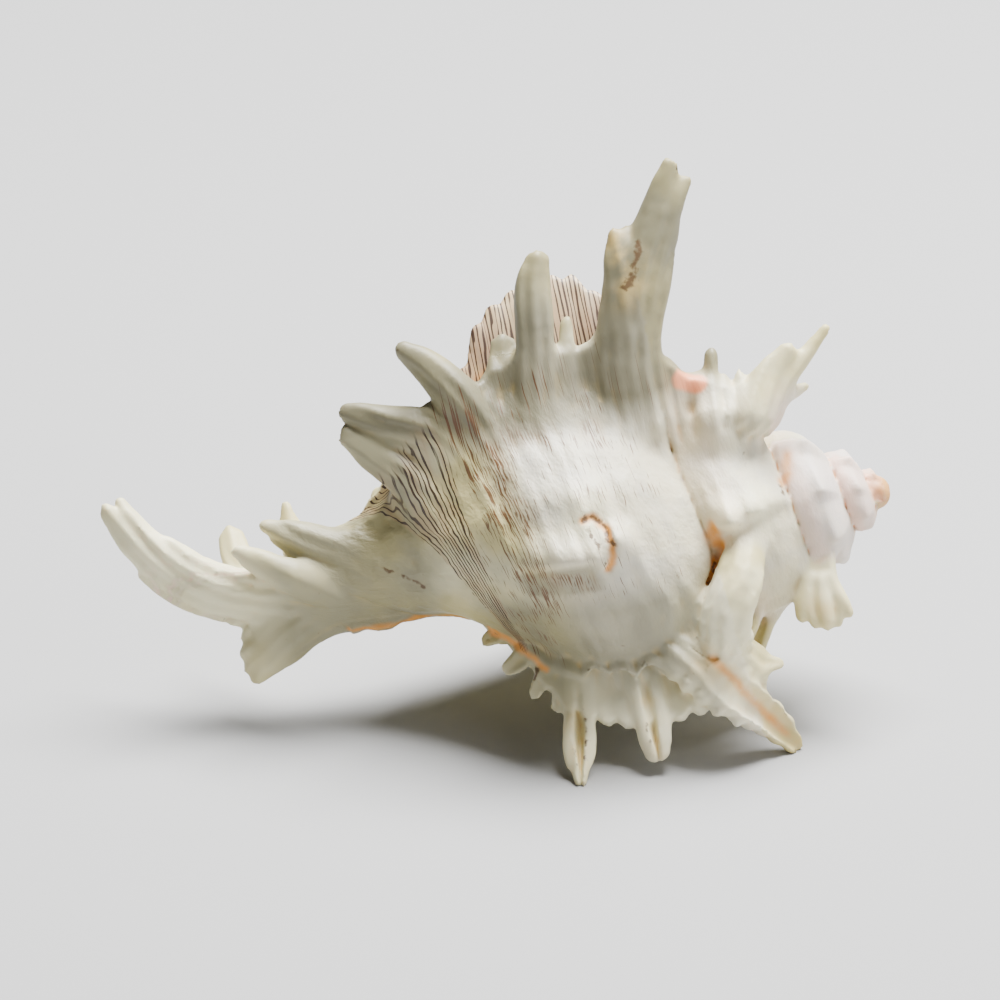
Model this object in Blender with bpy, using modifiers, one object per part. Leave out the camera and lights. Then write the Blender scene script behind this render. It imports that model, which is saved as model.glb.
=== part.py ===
# A murex shell that grew as one piece: a coiled body with three rows of fronds to a whorl,
# a spire, a bent siphonal canal and a wide mouth. It lies on the fronds of its lower rows.
#
# The shell is drawn around its own axis. A place on it has three numbers:
#   station  distance from the tip of the spire, along the axis
#   radius   distance from the axis
#   angle    degrees round the axis, 0 at the front, 90 at the top, growing the way the shell grew
# Lengths are in millimetres until the last step, which places the shell in metres.

import math

import bmesh
import bpy
import numpy as np
from mathutils import Matrix, Vector

MM = 0.001

# The spiral
WHORL_GROWTH = 1.76          # a whorl is this many times as tall as the one before
GROWTH_ANGLE = 56.0          # where the outline below is drawn at full size
INNER_RATIO = 0.22           # how much faster the radius shrinks than the height
LIP_ANGLE = 66.0             # where the wall of the last whorl ends, at the mouth
OLDER_TURNS = 5
VARIX_ANGLES = (56.0, -64.0, -176.0)   # rows of fronds, three to a whorl
VARIX_HEIGHT = 3.0
VARIX_SPREAD = (7.0, 4.0)    # degrees before and after its highest line
VARIX_RISES = (50.0, 8.0)    # station where it begins at the shoulder, and the length it takes
VARIX_FADES = (128.0, 20.0)  # station where it has gone towards the canal, and the length it takes

# Outline of the last whorl: station, radius
OUTLINE = [
    (44, 0), (50, 14), (54, 24.5), (58, 28.5), (64, 34), (70, 37.5), (78, 39.5), (86, 40), (95, 38),
    (104, 33.5), (112, 28), (120, 22.5), (128, 18), (136, 14.5), (146, 10), (154, 0),
]
# Knobs on the body: angle, station, spread in degrees, spread along the axis, height
KNOBS = [
    (-1, 92, 9, 11, 5.0),
    (3, 77, 6, 5, 3.4),
    (-116, 90, 10, 14, 4.0),
    (-237, 88, 10, 14, 4.0),
]
APEX_STATION = 8.0           # the worn tip of the spire is a round nub
APEX_RADIUS = 4.2
COLUMELLA = [(50, 6), (60, 9), (90, 9.5), (120, 8.5), (140, 8.5), (150, 7)]
BODY_STATIONS = (4.0, 150.0)

# The mouth and the hollow behind it
WALL = 2.8
HOLLOW_TURN = 300.0          # how far the hollow is followed back into the coil
HOLLOW_STATIONS = (61.0, 119.0)
HOLLOW_PAST_LIP = 8.0        # degrees that the cutter starts beyond the lip, in the open
PILLAR_RADIUS = 9.0
PILLAR_TOP = (60.0, 78.0)    # stations between which the pillar narrows from the shoulder
PILLAR_TOP_RADIUS = 18.0
FLOOR_WALL = 0.8             # left over the whorl before
LEAST_OPENING = 1.0          # the hollow ends where it is lower than this

# Thin plates between the fronds of each row. Edge: station, radius.
LIP_EDGE = [
    (32, 20), (38, 36), (46, 40), (54, 46), (60, 52), (66, 55), (80, 55), (92, 53), (98, 46),
    (106, 38), (114, 30), (120, 24), (126, 19), (132, 16), (140, 12),
]
FLARE_EDGE = [
    (42, 26), (44, 34), (50, 36), (56, 52), (62, 60), (69, 65), (78, 65), (86, 62.5), (91, 60),
    (95, 56.5), (98, 50), (104, 43), (114, 33), (122, 26), (130, 17.5), (138, 13),
]
LOWER_EDGE = [
    (38, 22), (44, 34), (50, 44), (54, 48), (60, 47), (66, 48.5), (76, 47), (82, 45), (90, 39),
    (94, 35), (98, 28), (102, 21.5), (106, 14),
]
BACK_EDGE = [
    (34, 16), (42, 27), (50, 36), (60, 40), (72, 40), (84, 37), (94, 30), (104, 23), (114, 17), (124, 12),
]
# Plate: edge, angle, degrees of lean per millimetre of radius, radius where the lean begins, thickness
PLATES = [
    (LIP_EDGE, 58.0, 0.25, 38.0, 4.4),
    (FLARE_EDGE, 66.0, 0.55, 38.0, 2.4),
    (LOWER_EDGE, -64.0, -0.10, 34.0, 3.6),
    (BACK_EDGE, -176.0, 0.20, 28.0, 3.2),
]

# Fronds: name, route as (station, radius, angle), half widths along it, thickness, gutter depth
FRONDS = [
    ("lip shoulder", [(59.5, 33, 56), (59.5, 50, 62), (53.5, 66.5, 67), (46.5, 79, 70), (41.5, 87.5, 71)],
     [9.0, 7.6, 7.4, 5.8, 3.4], 0.70, 0.8),
    ("lip shoulder lobe", [(59, 55, 62), (58, 69, 66), (58, 76, 68)], [5.2, 3.4, 2.4], 0.70, 0.4),
    ("lip second", [(84, 38, 56), (81, 55.5, 63), (79.5, 66.5, 67), (78, 72, 69)],
     [6.2, 4.8, 4.3, 3.6], 0.75, 0.8),
    ("lip third", [(96, 36, 54), (101.5, 47.5, 60), (107, 54.5, 64), (111.5, 58, 66)],
     [6.7, 5.7, 4.2, 2.4], 0.75, 0.7),
    ("lip fourth", [(103, 31, 51), (110, 39, 58), (119.5, 42, 63), (127.5, 45, 66)],
     [6.7, 5.7, 4.3, 2.2], 0.75, 0.7),
    ("lip fifth", [(111, 24, 47), (118, 31, 55), (124, 35.5, 60), (129, 39.5, 63)],
     [7.1, 5.7, 3.6, 1.8], 0.75, 0.7),
    ("lip sixth", [(117, 20, 60), (122, 20, 75), (124, 20.5, 85)], [4.3, 3.2, 2.2], 0.80, 0.4),
    ("canal third", [(122, 6, 30), (135, 13, 50), (144, 17, 58), (151, 21, 62)],
     [6.2, 5.2, 4.3, 2.2], 0.80, 0.6),
    ("canal third lobe", [(144.5, 13, 80), (145.5, 18, 86), (146, 22.5, 88)], [4.3, 3.1, 1.8], 0.70, 0.3),
    ("canal second", [(138, 6, 4), (147, 13, 25), (154.5, 16, 42), (159, 18.5, 50)],
     [4.6, 4.3, 3.1, 1.6], 0.90, 0.5),
    ("canal second lobe", [(153, 4, 100), (158, 10, 115), (160, 14, 115), (160.5, 19, 115)],
     [4.8, 4.8, 3.8, 3.1], 0.70, 0.3),
    ("canal", [(120, 2, 25), (139.5, 1.5, 42), (156, 3, 49), (169.5, 8.5, 61), (179.5, 18, 67), (187, 30, 72)],
     [8.1, 7.4, 7.4, 6.8, 6.0, 3.1], 0.55, 0.0),
    ("old canal", [(118, 2, -90), (137.5, 2, -90), (150.5, 6.5, -90), (157, 10.5, -86)],
     [8.1, 7.6, 6.7, 5.0], 0.45, 0.0),
    ("canal first", [(147, 6, 0), (156.5, 8, 2), (165, 8, 4)], [3.3, 2.2, 1.1], 0.80, 0.0),
    ("lower first", [(85, 31, -62), (87, 43.5, -64), (88.5, 52, -65), (89, 59, -65)],
     [5.7, 4.3, 3.3, 2.2], 0.80, 0.6),
    ("lower second", [(70.5, 33, -60), (70, 45.5, -64), (70, 51.5, -66), (70, 54.5, -67)],
     [5.7, 4.5, 3.6, 2.6], 0.80, 0.6),
    ("lower shoulder", [(59, 36, -54), (50.5, 45.5, -62), (42.5, 50, -74), (36.5, 57, -81)],
     [6.7, 6.2, 4.6, 1.9], 0.75, 0.8),
    ("back shoulder", [(57, 26, -174), (57.5, 38, -172), (58, 50, -164), (58, 57.8, -158)],
     [6.0, 5.0, 4.0, 2.6], 0.80, 0.6),
    ("back second", [(82, 16, -174), (85, 28, -172), (89, 41, -164), (92, 50.5, -158)],
     [5.6, 4.6, 3.6, 2.4], 0.80, 0.6),
    ("frill first", [(97, 22.5, -58), (101.5, 20, -60), (105, 18.5, -62)], [2.9, 2.2, 1.8], 0.80, 0.3),
    ("frill second", [(94, 26, -58), (98, 27, -62), (100.5, 27, -64)], [3.3, 2.9, 2.4], 0.80, 0.3),
    ("frill third", [(91.5, 31.5, -60), (93.5, 33, -63), (95, 33.5, -65)], [3.3, 2.6, 1.9], 0.80, 0.3),
    ("spire lower shoulder", [(41, 23, -16), (44, 30.5, -28), (49, 35, -42), (49, 36.5, -57), (45, 39, -66)],
     [5.2, 5.7, 6.2, 5.2, 2.9], 0.75, 0.5),
    ("spire lower second", [(35.5, 17.5, -77), (40.5, 26, -81), (43.5, 33, -80)], [4.3, 3.3, 2.2], 0.70, 0.4),
    ("spire upper first", [(42.5, 33, 50), (41.5, 38, 62), (40.5, 42.5, 66)], [4.3, 2.4, 1.7], 0.80, 0.4),
    ("spire upper web", [(37.5, 24, 50), (35.5, 32.5, 58), (35, 35.5, 62)], [6.2, 6.2, 3.4], 0.50, 0.4),
    ("spire upper second", [(33, 30.5, 50), (28, 36, 60), (23, 41, 64)], [4.8, 4.0, 2.4], 0.80, 0.5),
    ("spire upper third", [(30.5, 28.5, 54), (24, 34.5, 62), (18.5, 38.5, 67), (13, 43, 70)],
     [3.8, 3.1, 2.2, 1.7], 0.80, 0.5),
    ("spire upper fourth", [(25, 30, 62), (22, 30, 66), (20, 30, 68)], [2.4, 1.8, 1.2], 0.80, 0.0),
    ("spire fan", [(24, 14, -44), (25, 22, -57), (25, 27, -64)], [3.8, 4.8, 6.2], 0.35, 0.2),
]

# How it lies: the spire leans up a little, and the shell is rolled so that its mouth faces back and down
AXIS_LEAN = 10.5
ROLL = 65.0
GROUND_DROP = 53.0           # the ground is this far below the tip of the spire

# A plate is rooted this deep in the body, as a share of the radius, and at least this far below its edge
PLATE_ROOT_SHARE = 0.6
PLATE_LEAST_HEIGHT = 1.0
# A frond's tip is rounded by two more sections: how far on and how wide, in widths of the last one
TIP_SECTIONS = ((0.55, 0.83), (0.90, 0.42))
# The gutter of a frond: sections without one, sections over which it deepens, depth, half width
GUTTER_FROM = 2
GUTTER_DEEPENS = 3.0
GUTTER_REACH = 1.2
GUTTER_HALF_WIDTH = 0.6

# Fineness of the solid
TURN_STEPS = 96
STATION_STEPS = 110
ROUTE_STEPS = 9
SECTION_STEPS = 12
PLATE_STEPS = (40, 16)
HOLLOW_STEPS = 56
HOLLOW_SECTION_STEPS = 14
SEARCH_STEPS = 120
SHARP_ANGLE = 50.0
VOXEL = 1.1
TRIANGLES = 9000

SHELL_COLOUR = (0.83, 0.80, 0.74, 1.0)
SHELL_ROUGHNESS = 0.38


def spiral(angle):
    """Height factor and radius factor of the spiral at an angle, 1 and 1 at the growing angle."""
    height = WHORL_GROWTH ** ((angle - GROWTH_ANGLE) / 360.0)
    radius = np.maximum((np.sqrt(height) - INNER_RATIO) / (1.0 - INNER_RATIO), 0.0)
    return height, radius


def smooth_curve(points, count):
    """Catmull-Rom curve through the points, sampled at even steps."""
    points = np.array(points, float)
    padded = np.vstack([2 * points[0] - points[1], points, 2 * points[-1] - points[-2]])
    samples = []
    for position in np.linspace(0, len(points) - 1, count):
        first = min(int(position), len(points) - 2)
        part = position - first
        before, start, end, after = padded[first:first + 4]
        samples.append(0.5 * (2 * start + (end - before) * part
                              + (2 * before - 5 * start + 4 * end - after) * part ** 2
                              + (3 * start - before - 3 * end + after) * part ** 3))
    return np.array(samples)


OUTLINE_CURVE = smooth_curve(OUTLINE, 300)


def outline_radius(station):
    """Radius of the last whorl's outline at a station."""
    return np.interp(station, OUTLINE_CURVE[:, 0], OUTLINE_CURVE[:, 1], left=0.0, right=0.0)


def hill(value, middle, spread):
    """A smooth rise of height 1."""
    return np.exp(-((value - middle) / spread) ** 2)


def varix_rise(angle, station):
    """The thickened rib under each row of fronds, steeper on the side that grew last."""
    rise = 0.0
    for row in VARIX_ANGLES:
        past = (angle - row + 180.0) % 360.0 - 180.0
        before, after = VARIX_SPREAD
        rise = rise + np.where(past < 0, hill(past, 0.0, before), hill(past, 0.0, after))
    start, rising = VARIX_RISES
    end, fading = VARIX_FADES
    return rise * np.clip((station - start) / rising, 0, 1) * np.clip((end - station) / fading, 0, 1)


def whorl_radius(angle, station):
    """Outer radius of the spiral wall at one angle, counted along all its turns."""
    height, size = spiral(angle)
    scaled = station / height
    radius = outline_radius(scaled) + VARIX_HEIGHT * varix_rise(angle, scaled)
    for knob_angle, knob_station, turn_spread, spread, rise in KNOBS:
        radius = radius + rise * hill(angle, knob_angle, turn_spread) * hill(scaled, knob_station, spread)
    return size * radius


def body_radius(angle, station):
    """Outermost radius over all turns, with the columella and the worn nub of the apex."""
    nub = np.sqrt(np.maximum(APEX_RADIUS ** 2 - (station - APEX_STATION) ** 2, 0.01))
    stations, radii = np.array(COLUMELLA, float).T
    radius = np.maximum(nub, np.interp(station, stations, radii, left=0.0))
    for turn in range(OLDER_TURNS + 1):
        radius = np.maximum(radius, whorl_radius(angle - 360.0 * turn, station))
    return radius


def place(station, radius, angle):
    """Point in the shell's own frame: X to the apex, Y up, Z to the front."""
    turn = np.radians(angle)
    return np.stack([-station + 0 * turn, radius * np.sin(turn), radius * np.cos(turn)], axis=-1)


def loft(name, rings):
    """Closed solid through rings of equal length, with a fan over each end."""
    mesh = bmesh.new()
    rows = []
    for ring in rings:
        rows.append([mesh.verts.new(Vector(point)) for point in ring])
    for row, following in zip(rows, rows[1:]):
        for index in range(len(row)):
            after = (index + 1) % len(row)
            mesh.faces.new((row[index], row[after], following[after], following[index]))
    for row in (rows[0], rows[-1]):
        middle = mesh.verts.new(sum((vert.co for vert in row), Vector()) / len(row))
        for index in range(len(row)):
            mesh.faces.new((row[index], row[(index + 1) % len(row)], middle))
    bmesh.ops.recalc_face_normals(mesh, faces=mesh.faces)
    data = bpy.data.meshes.new(name)
    mesh.to_mesh(data)
    mesh.free()
    return data


def whorls():
    """Outside of the coil. The step at the lip closes the ring, so it is the wall's end face."""
    angles = np.linspace(LIP_ANGLE - 360.0, LIP_ANGLE, TURN_STEPS)
    rings = []
    for station in np.linspace(*BODY_STATIONS, STATION_STEPS):
        rings.append(place(station, body_radius(angles, station), angles))
    return loft("whorls", rings)


def plate(edge, angle, lean, lean_from, thickness):
    """One varix plate: an open surface from deep in the body out to its edge, with Solidify."""
    stations, radii = np.array(edge, float).T
    along = np.linspace(stations[0], stations[-1], PLATE_STEPS[0])
    outward = np.linspace(0.0, 1.0, PLATE_STEPS[1])
    mesh = bmesh.new()
    grid = []
    for station in along:
        edge_radius = np.interp(station, stations, radii)
        inner = min(PLATE_ROOT_SHARE * body_radius(angle, station), edge_radius - PLATE_LEAST_HEIGHT)
        radius = inner + (edge_radius - inner) * outward
        turned = angle + lean * np.maximum(radius - lean_from, 0.0)
        grid.append([mesh.verts.new(Vector(point)) for point in place(station, radius, turned)])
    for row, following in zip(grid, grid[1:]):
        for index in range(len(row) - 1):
            mesh.faces.new((row[index], row[index + 1], following[index + 1], following[index]))
    data = bpy.data.meshes.new("plate")
    mesh.to_mesh(data)
    mesh.free()
    sheet = bpy.data.objects.new("plate", data)
    solid = sheet.modifiers.new("thickness", 'SOLIDIFY')
    solid.thickness = thickness
    solid.offset = 0.0
    return sheet


def frond(name, route, half_widths, thickness, gutter):
    """One frond: an oval section swept along its route, hollowed on the side that grew last."""
    corners = np.array([place(*map(float, point)) for point in route])
    centres = smooth_curve(corners, ROUTE_STEPS)
    widths = smooth_curve(np.array(half_widths)[:, None], ROUTE_STEPS)[:, 0]
    tangents = np.gradient(centres, axis=0)
    tangents /= np.linalg.norm(tangents, axis=1)[:, None]
    for reach, size in TIP_SECTIONS:
        centres = np.vstack([centres, centres[ROUTE_STEPS - 1] + tangents[-1] * widths[ROUTE_STEPS - 1] * reach])
        widths = np.append(widths, widths[ROUTE_STEPS - 1] * size)
        tangents = np.vstack([tangents, tangents[-1]])
    rings = []
    for step, (centre, width, tangent) in enumerate(zip(centres, widths, tangents)):
        turn = math.atan2(centre[1], centre[2])
        growth = np.array([0.0, math.cos(turn), -math.sin(turn)])
        growth -= growth.dot(tangent) * tangent
        growth /= np.linalg.norm(growth)
        across = np.cross(tangent, growth)
        depth = gutter * np.clip((step - GUTTER_FROM) / GUTTER_DEEPENS, 0.0, 1.0)
        ring = []
        for side in np.linspace(0.0, 2 * math.pi, SECTION_STEPS, endpoint=False):
            thick = width * thickness * math.sin(side)
            if thick > 0:
                thick *= 1.0 - GUTTER_REACH * depth * hill(math.cos(side), 0.0, GUTTER_HALF_WIDTH)
            ring.append(centre + across * width * math.cos(side) + growth * thick)
        rings.append(ring)
    return loft(name, rings)


def hollow():
    """The space that opens at the mouth and winds back into the coil, as a cutter."""
    # It starts in the open just past the lip and is closed by a smaller last section
    angles = np.linspace(LIP_ANGLE + HOLLOW_PAST_LIP, LIP_ANGLE - HOLLOW_TURN, HOLLOW_STEPS)
    rings = []
    for angle in angles:
        height, size = spiral(angle)
        scaled = np.linspace(*HOLLOW_STATIONS, SEARCH_STEPS)
        outer = size * (outline_radius(scaled) - WALL)
        inner = size * np.interp(scaled, PILLAR_TOP, (PILLAR_TOP_RADIUS, PILLAR_RADIUS))
        inner = np.maximum(inner, whorl_radius(angle - 360.0, scaled * height) + FLOOR_WALL)
        open_part = np.flatnonzero(outer - inner > LEAST_OPENING)
        chosen = np.linspace(scaled[open_part[0]], scaled[open_part[-1]], HOLLOW_SECTION_STEPS)
        top = np.interp(chosen, scaled, outer)
        bottom = np.interp(chosen, scaled, inner)
        stations = chosen * height
        ring = np.vstack([place(stations, top, angle), place(stations[::-1], bottom[::-1], angle)])
        rings.append(ring)
    return loft("hollow", rings)


def shell_material():
    material = bpy.data.materials.new("shell")
    material.use_nodes = True
    surface = material.node_tree.nodes["Principled BSDF"]
    surface.inputs["Base Color"].default_value = SHELL_COLOUR
    surface.inputs["Roughness"].default_value = SHELL_ROUGHNESS
    surface.inputs["Metallic"].default_value = 0.0
    return material


def gather(objects, name):
    """All the grown pieces, with their modifiers, as one mesh for the remesher to fuse."""
    bpy.context.view_layer.update()
    graph = bpy.context.evaluated_depsgraph_get()
    together = bmesh.new()
    for piece in objects:
        evaluated = piece.evaluated_get(graph)
        together.from_mesh(evaluated.to_mesh())
        evaluated.to_mesh_clear()
    data = bpy.data.meshes.new(name)
    together.to_mesh(data)
    together.free()
    return data


def evaluated_mesh(thing):
    """The object's mesh with its modifiers applied."""
    bpy.context.view_layer.update()
    graph = bpy.context.evaluated_depsgraph_get()
    return bpy.data.meshes.new_from_object(thing.evaluated_get(graph))


def stand(data):
    """Turn the shell the way it lies, wear its feet flat and put it on the ground, in metres."""
    lie = Matrix.Rotation(math.radians(ROLL), 4, 'X') @ Matrix.Rotation(math.radians(AXIS_LEAN), 4, 'Z')
    mesh = bmesh.new()
    mesh.from_mesh(data)
    mesh.transform(lie)
    ground = -GROUND_DROP
    cut = bmesh.ops.bisect_plane(
        mesh, geom=mesh.verts[:] + mesh.edges[:] + mesh.faces[:], dist=0.0001,
        plane_co=(0, 0, ground), plane_no=(0, 0, 1), clear_inner=True)
    rims = [item for item in cut["geom_cut"] if isinstance(item, bmesh.types.BMEdge)]
    bmesh.ops.holes_fill(mesh, edges=rims)
    bmesh.ops.triangulate(mesh, faces=mesh.faces)
    low = [min(vert.co[axis] for vert in mesh.verts) for axis in range(3)]
    high = [max(vert.co[axis] for vert in mesh.verts) for axis in range(3)]
    middle = Vector(((low[0] + high[0]) / 2, (low[1] + high[1]) / 2, ground))
    mesh.transform(Matrix.Scale(MM, 4) @ Matrix.Translation(-middle))
    mesh.to_mesh(data)
    mesh.free()
    print("shell", [round(high[axis] - low[axis], 1) for axis in range(3)], "mm, origin from the apex", middle)


def main():
    for thing in list(bpy.data.objects):
        bpy.data.objects.remove(thing)
    murex = bpy.data.collections.new("murex_shell")
    cutters = bpy.data.collections.new("cutters")
    bpy.context.scene.collection.children.link(murex)
    bpy.context.scene.collection.children.link(cutters)

    pieces = [bpy.data.objects.new("whorls", whorls())]
    pieces += [plate(*sizes) for sizes in PLATES]
    pieces += [bpy.data.objects.new(sizes[0], frond(*sizes)) for sizes in FRONDS]
    for piece in pieces:
        murex.objects.link(piece)

    shell = bpy.data.objects.new("shell", gather(pieces, "shell"))
    murex.objects.link(shell)
    for piece in pieces:
        bpy.data.objects.remove(piece)

    cutter = bpy.data.objects.new("hollow", hollow())
    cutters.objects.link(cutter)
    cutter.hide_render = True
    cutter.display_type = 'WIRE'

    fuse = shell.modifiers.new("fuse", 'REMESH')
    fuse.mode = 'VOXEL'
    fuse.voxel_size = VOXEL
    cut = shell.modifiers.new("mouth", 'BOOLEAN')
    cut.operation = 'DIFFERENCE'
    cut.solver = 'EXACT'
    cut.object = cutter
    fine = evaluated_mesh(shell)
    fine.calc_loop_triangles()
    thin = shell.modifiers.new("thin out", 'DECIMATE')
    thin.ratio = TRIANGLES / len(fine.loop_triangles)
    shell.data = evaluated_mesh(shell)
    shell.modifiers.clear()

    stand(shell.data)
    bpy.data.objects.remove(cutter)
    shell.data.materials.clear()
    shell.data.materials.append(shell_material())
    shell.data.shade_smooth()
    shell.data.set_sharp_from_angle(angle=math.radians(SHARP_ANGLE))


main()
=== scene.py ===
# %% [markdown]
# # A murex shell, grown by rules
#
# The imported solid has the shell's form in a few thousand flat faces. Here the same shell is grown again,
# finely, and takes the solid's place. A shell like this is laid down at the edge of its mouth while the
# animal turns round one axis, so nearly everything on it follows three numbers: the station along the
# axis, the radius from it, and the angle round it. Cords, brown lines, rows of fronds and sutures are all
# simple in those numbers and hard to draw in any others.

# %% Load the frame
import math
import time

import bpy
import numpy as np
from mathutils import Matrix, Vector
from mathutils.kdtree import KDTree


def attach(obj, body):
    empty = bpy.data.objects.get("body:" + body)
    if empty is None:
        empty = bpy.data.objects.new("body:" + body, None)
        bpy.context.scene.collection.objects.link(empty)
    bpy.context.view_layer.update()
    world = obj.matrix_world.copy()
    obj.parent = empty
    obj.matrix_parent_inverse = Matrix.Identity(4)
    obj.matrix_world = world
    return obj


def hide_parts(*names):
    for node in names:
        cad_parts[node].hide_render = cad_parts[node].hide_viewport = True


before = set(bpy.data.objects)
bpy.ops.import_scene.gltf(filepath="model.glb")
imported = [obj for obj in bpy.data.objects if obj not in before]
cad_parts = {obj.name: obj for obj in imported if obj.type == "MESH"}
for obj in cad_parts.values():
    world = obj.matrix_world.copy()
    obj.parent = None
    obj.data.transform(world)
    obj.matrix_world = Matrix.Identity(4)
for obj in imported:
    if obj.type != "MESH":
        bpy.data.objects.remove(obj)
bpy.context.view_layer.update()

# %% [markdown]
# ## How the shell lies
#
# Everything is worked out in millimetres in the shell's own frame: X towards the tip of the spire, Y up
# and Z to the front. One matrix then lays it down: the spire leans up a little, and the shell is rolled
# so that the mouth faces back and down. `SPIRE_TIP` is where station 0 comes to rest.

# %% The shell's frame
MM = 0.001
# Degrees
AXIS_LEAN = 10.5
ROLL = 65.0
# Metres
SPIRE_TIP = (0.0978, 0.0079, 0.0530)

lay = (Matrix.Translation(SPIRE_TIP) @ Matrix.Rotation(math.radians(ROLL), 4, 'X')
       @ Matrix.Rotation(math.radians(AXIS_LEAN), 4, 'Z') @ Matrix.Scale(MM, 4))
LAY = np.array(lay)
print("the axis leans up by", AXIS_LEAN, "degrees, and the shell is rolled by", ROLL)


def to_world(points):
    """Shell frame in millimetres to the scene in metres."""
    return points @ LAY[:3, :3].T + LAY[:3, 3]


def point_at(station, radius, angle):
    """Point in the shell's frame from its station, radius and angle in degrees."""
    turn = np.radians(angle)
    return np.stack([-station + 0 * turn, radius * np.sin(turn), radius * np.cos(turn)], axis=-1)


# %% [markdown]
# ## Small tools
#
# The form is a field: a number at every point of space, below zero inside the shell and above zero
# outside, in millimetres. Two forms are joined by taking the lower of their numbers, and cut by taking the
# higher. A soft minimum rounds the corner where they meet, as a shell does where a frond grows out of it.

# %% Soft joins, curves and noise
def join(one, other, fillet):
    """Union of two fields with a rounded corner."""
    mix = np.clip(0.5 + 0.5 * (other - one) / fillet, 0, 1)
    return other * (1 - mix) + one * mix - fillet * mix * (1 - mix)


def carve(field, tool, rounding):
    """What is left of a field when another is cut out of it, with a rounded edge."""
    return -join(-field, tool, rounding)


def hill(value, middle, spread):
    """A smooth rise of height 1."""
    return np.exp(-((value - middle) / spread) ** 2)


def smooth_curve(points, count):
    """Catmull-Rom curve through the points, sampled at even steps."""
    points = np.array(points, float)
    padded = np.vstack([2 * points[0] - points[1], points, 2 * points[-1] - points[-2]])
    samples = []
    for position in np.linspace(0, len(points) - 1, count):
        first = min(int(position), len(points) - 2)
        part = position - first
        before, start, end, after = padded[first:first + 4]
        samples.append(0.5 * (2 * start + (end - before) * part
                              + (2 * before - 5 * start + 4 * end - after) * part ** 2
                              + (3 * start - before - 3 * end + after) * part ** 3))
    return np.array(samples)


LATTICE = np.random.default_rng(7).uniform(-1, 1, (32, 32, 32)).astype(np.float32)


def soft_noise(points, size, shift=0.0):
    """Smooth random number between -1 and 1, with lumps about as wide as size."""
    place = points / size + shift
    corner = np.floor(place).astype(np.int32)
    part = (place - corner).astype(np.float32)
    part = part * part * (3 - 2 * part)
    total = np.zeros(len(points), np.float32)
    for offset in np.ndindex(2, 2, 2):
        weight = np.ones(len(points), np.float32)
        for axis in range(3):
            weight *= part[:, axis] if offset[axis] else 1 - part[:, axis]
        x, y, z = ((corner[:, axis] + offset[axis]) % 32 for axis in range(3))
        total += weight * LATTICE[x, y, z]
    return total


# %% [markdown]
# ## The coil
#
# A snail's shell is the same outline drawn again and again, larger at each turn. `OUTLINE` is the last
# whorl where it is full grown. `spiral` says how much smaller it was at any earlier angle: each turn is
# 1.76 times as tall as the one before, and its radius shrinks a little faster than its height, which
# gives the spire its pointed steps. The angle here isn't wrapped: it counts back through all the turns.

# %% The spiral and its outline
WHORL_GROWTH = 1.76
GROWTH_ANGLE = 56.0
INNER_RATIO = 0.22
LIP_ANGLE = 66.0
OLDER_TURNS = 5
OUTLINE = [
    (44, 0), (50, 14), (54, 24.5), (58, 28.5), (64, 34), (70, 37.5), (78, 39.5), (86, 40), (95, 38),
    (104, 33.5), (112, 28), (120, 22.5), (128, 18), (136, 14.5), (146, 10), (154, 0),
]
APEX_STATION = 8.0
APEX_RADIUS = 4.2
BODY_STATIONS = (4.0, 150.0)
COLUMELLA = [(50, 6), (60, 9), (90, 9.5), (120, 8.5), (136, 7.5), (146, 3), (150, 1)]
SUTURE_DEPTH = 1.0
SUTURE_SPREAD = 1.1
OUTLINE_CURVE = smooth_curve(OUTLINE, 400)


def spiral(angle):
    """Height and radius of the spiral at an angle, against the full-grown whorl."""
    height = WHORL_GROWTH ** ((angle - GROWTH_ANGLE) / 360.0)
    radius = np.maximum((np.sqrt(height) - INNER_RATIO) / (1.0 - INNER_RATIO), 0.0)
    return height, radius


def outline_radius(station):
    """Radius of the last whorl's outline at a station."""
    return np.interp(station, OUTLINE_CURVE[:, 0], OUTLINE_CURVE[:, 1], left=0.0, right=0.0)


print("the last whorl reaches", round(float(OUTLINE_CURVE[:, 1].max()), 1), "mm from the axis")

# %% [markdown]
# ## What stands on the coil
#
# Three times a turn the animal stopped and thickened its lip. Each stop left a row of fronds on a low
# rib, the varix. Between two rows there are blunt knobs, and cords run round the whorl at even stations.
# `KNOBS` gives each knob by its angle along the unwrapped spiral, so the same rule places knobs on the
# last whorl and on the spire. The oldest turns have an even row of small pointed ones.

# %% Varices and knobs
VARIX_ANGLES = (56.0, -64.0, -176.0)
VARIX_HEIGHT = 3.0
# Degrees before and after its highest line
VARIX_SPREAD = (7.0, 4.0)
# Station where it begins, or has gone, and the length that takes
VARIX_RISES = (50.0, 8.0)
VARIX_FADES = (128.0, 20.0)
# Angle, station, spread in degrees before and after, spread along the axis, height
KNOBS = [
    (-3, 94, 4, 9, 9, 6.8),
    (-4, 82, 5, 9, 7, 3.4),
    (14, 82, 9, 9, 7, 2.6),
    (1, 76, 7, 5, 3.6, 4.2),
    (-75, 133, 26, 26, 9, -3.6),
    (-116, 90, 7, 14, 14, 4.0),
    (-237, 88, 7, 14, 14, 4.0),
    (-317, 77, 5, 15, 11, 8.0),
    (-361, 84, 4, 13, 7, 8.0),
    (-357, 71, 4, 12, 7, 5.0),
    (-353, 60, 5, 12, 6, 4.0),
    (-478, 78, 7, 14, 10, 5.0),
    (-600, 78, 7, 14, 10, 5.0),
]
# Station, spread along the axis, height
SPIRE_KNOBS = (66.0, 8.0, 5.5)
SPIRE_KNOBS_A_TURN = 8
SPIRE_KNOB_PEAK = 0.22
SPIRE_KNOB_SHARPNESS = 1.5
# Angle at which they have faded out as the shell grew, and the sweep that takes
SPIRE_KNOBS_END = (-640.0, 40.0)


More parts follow.
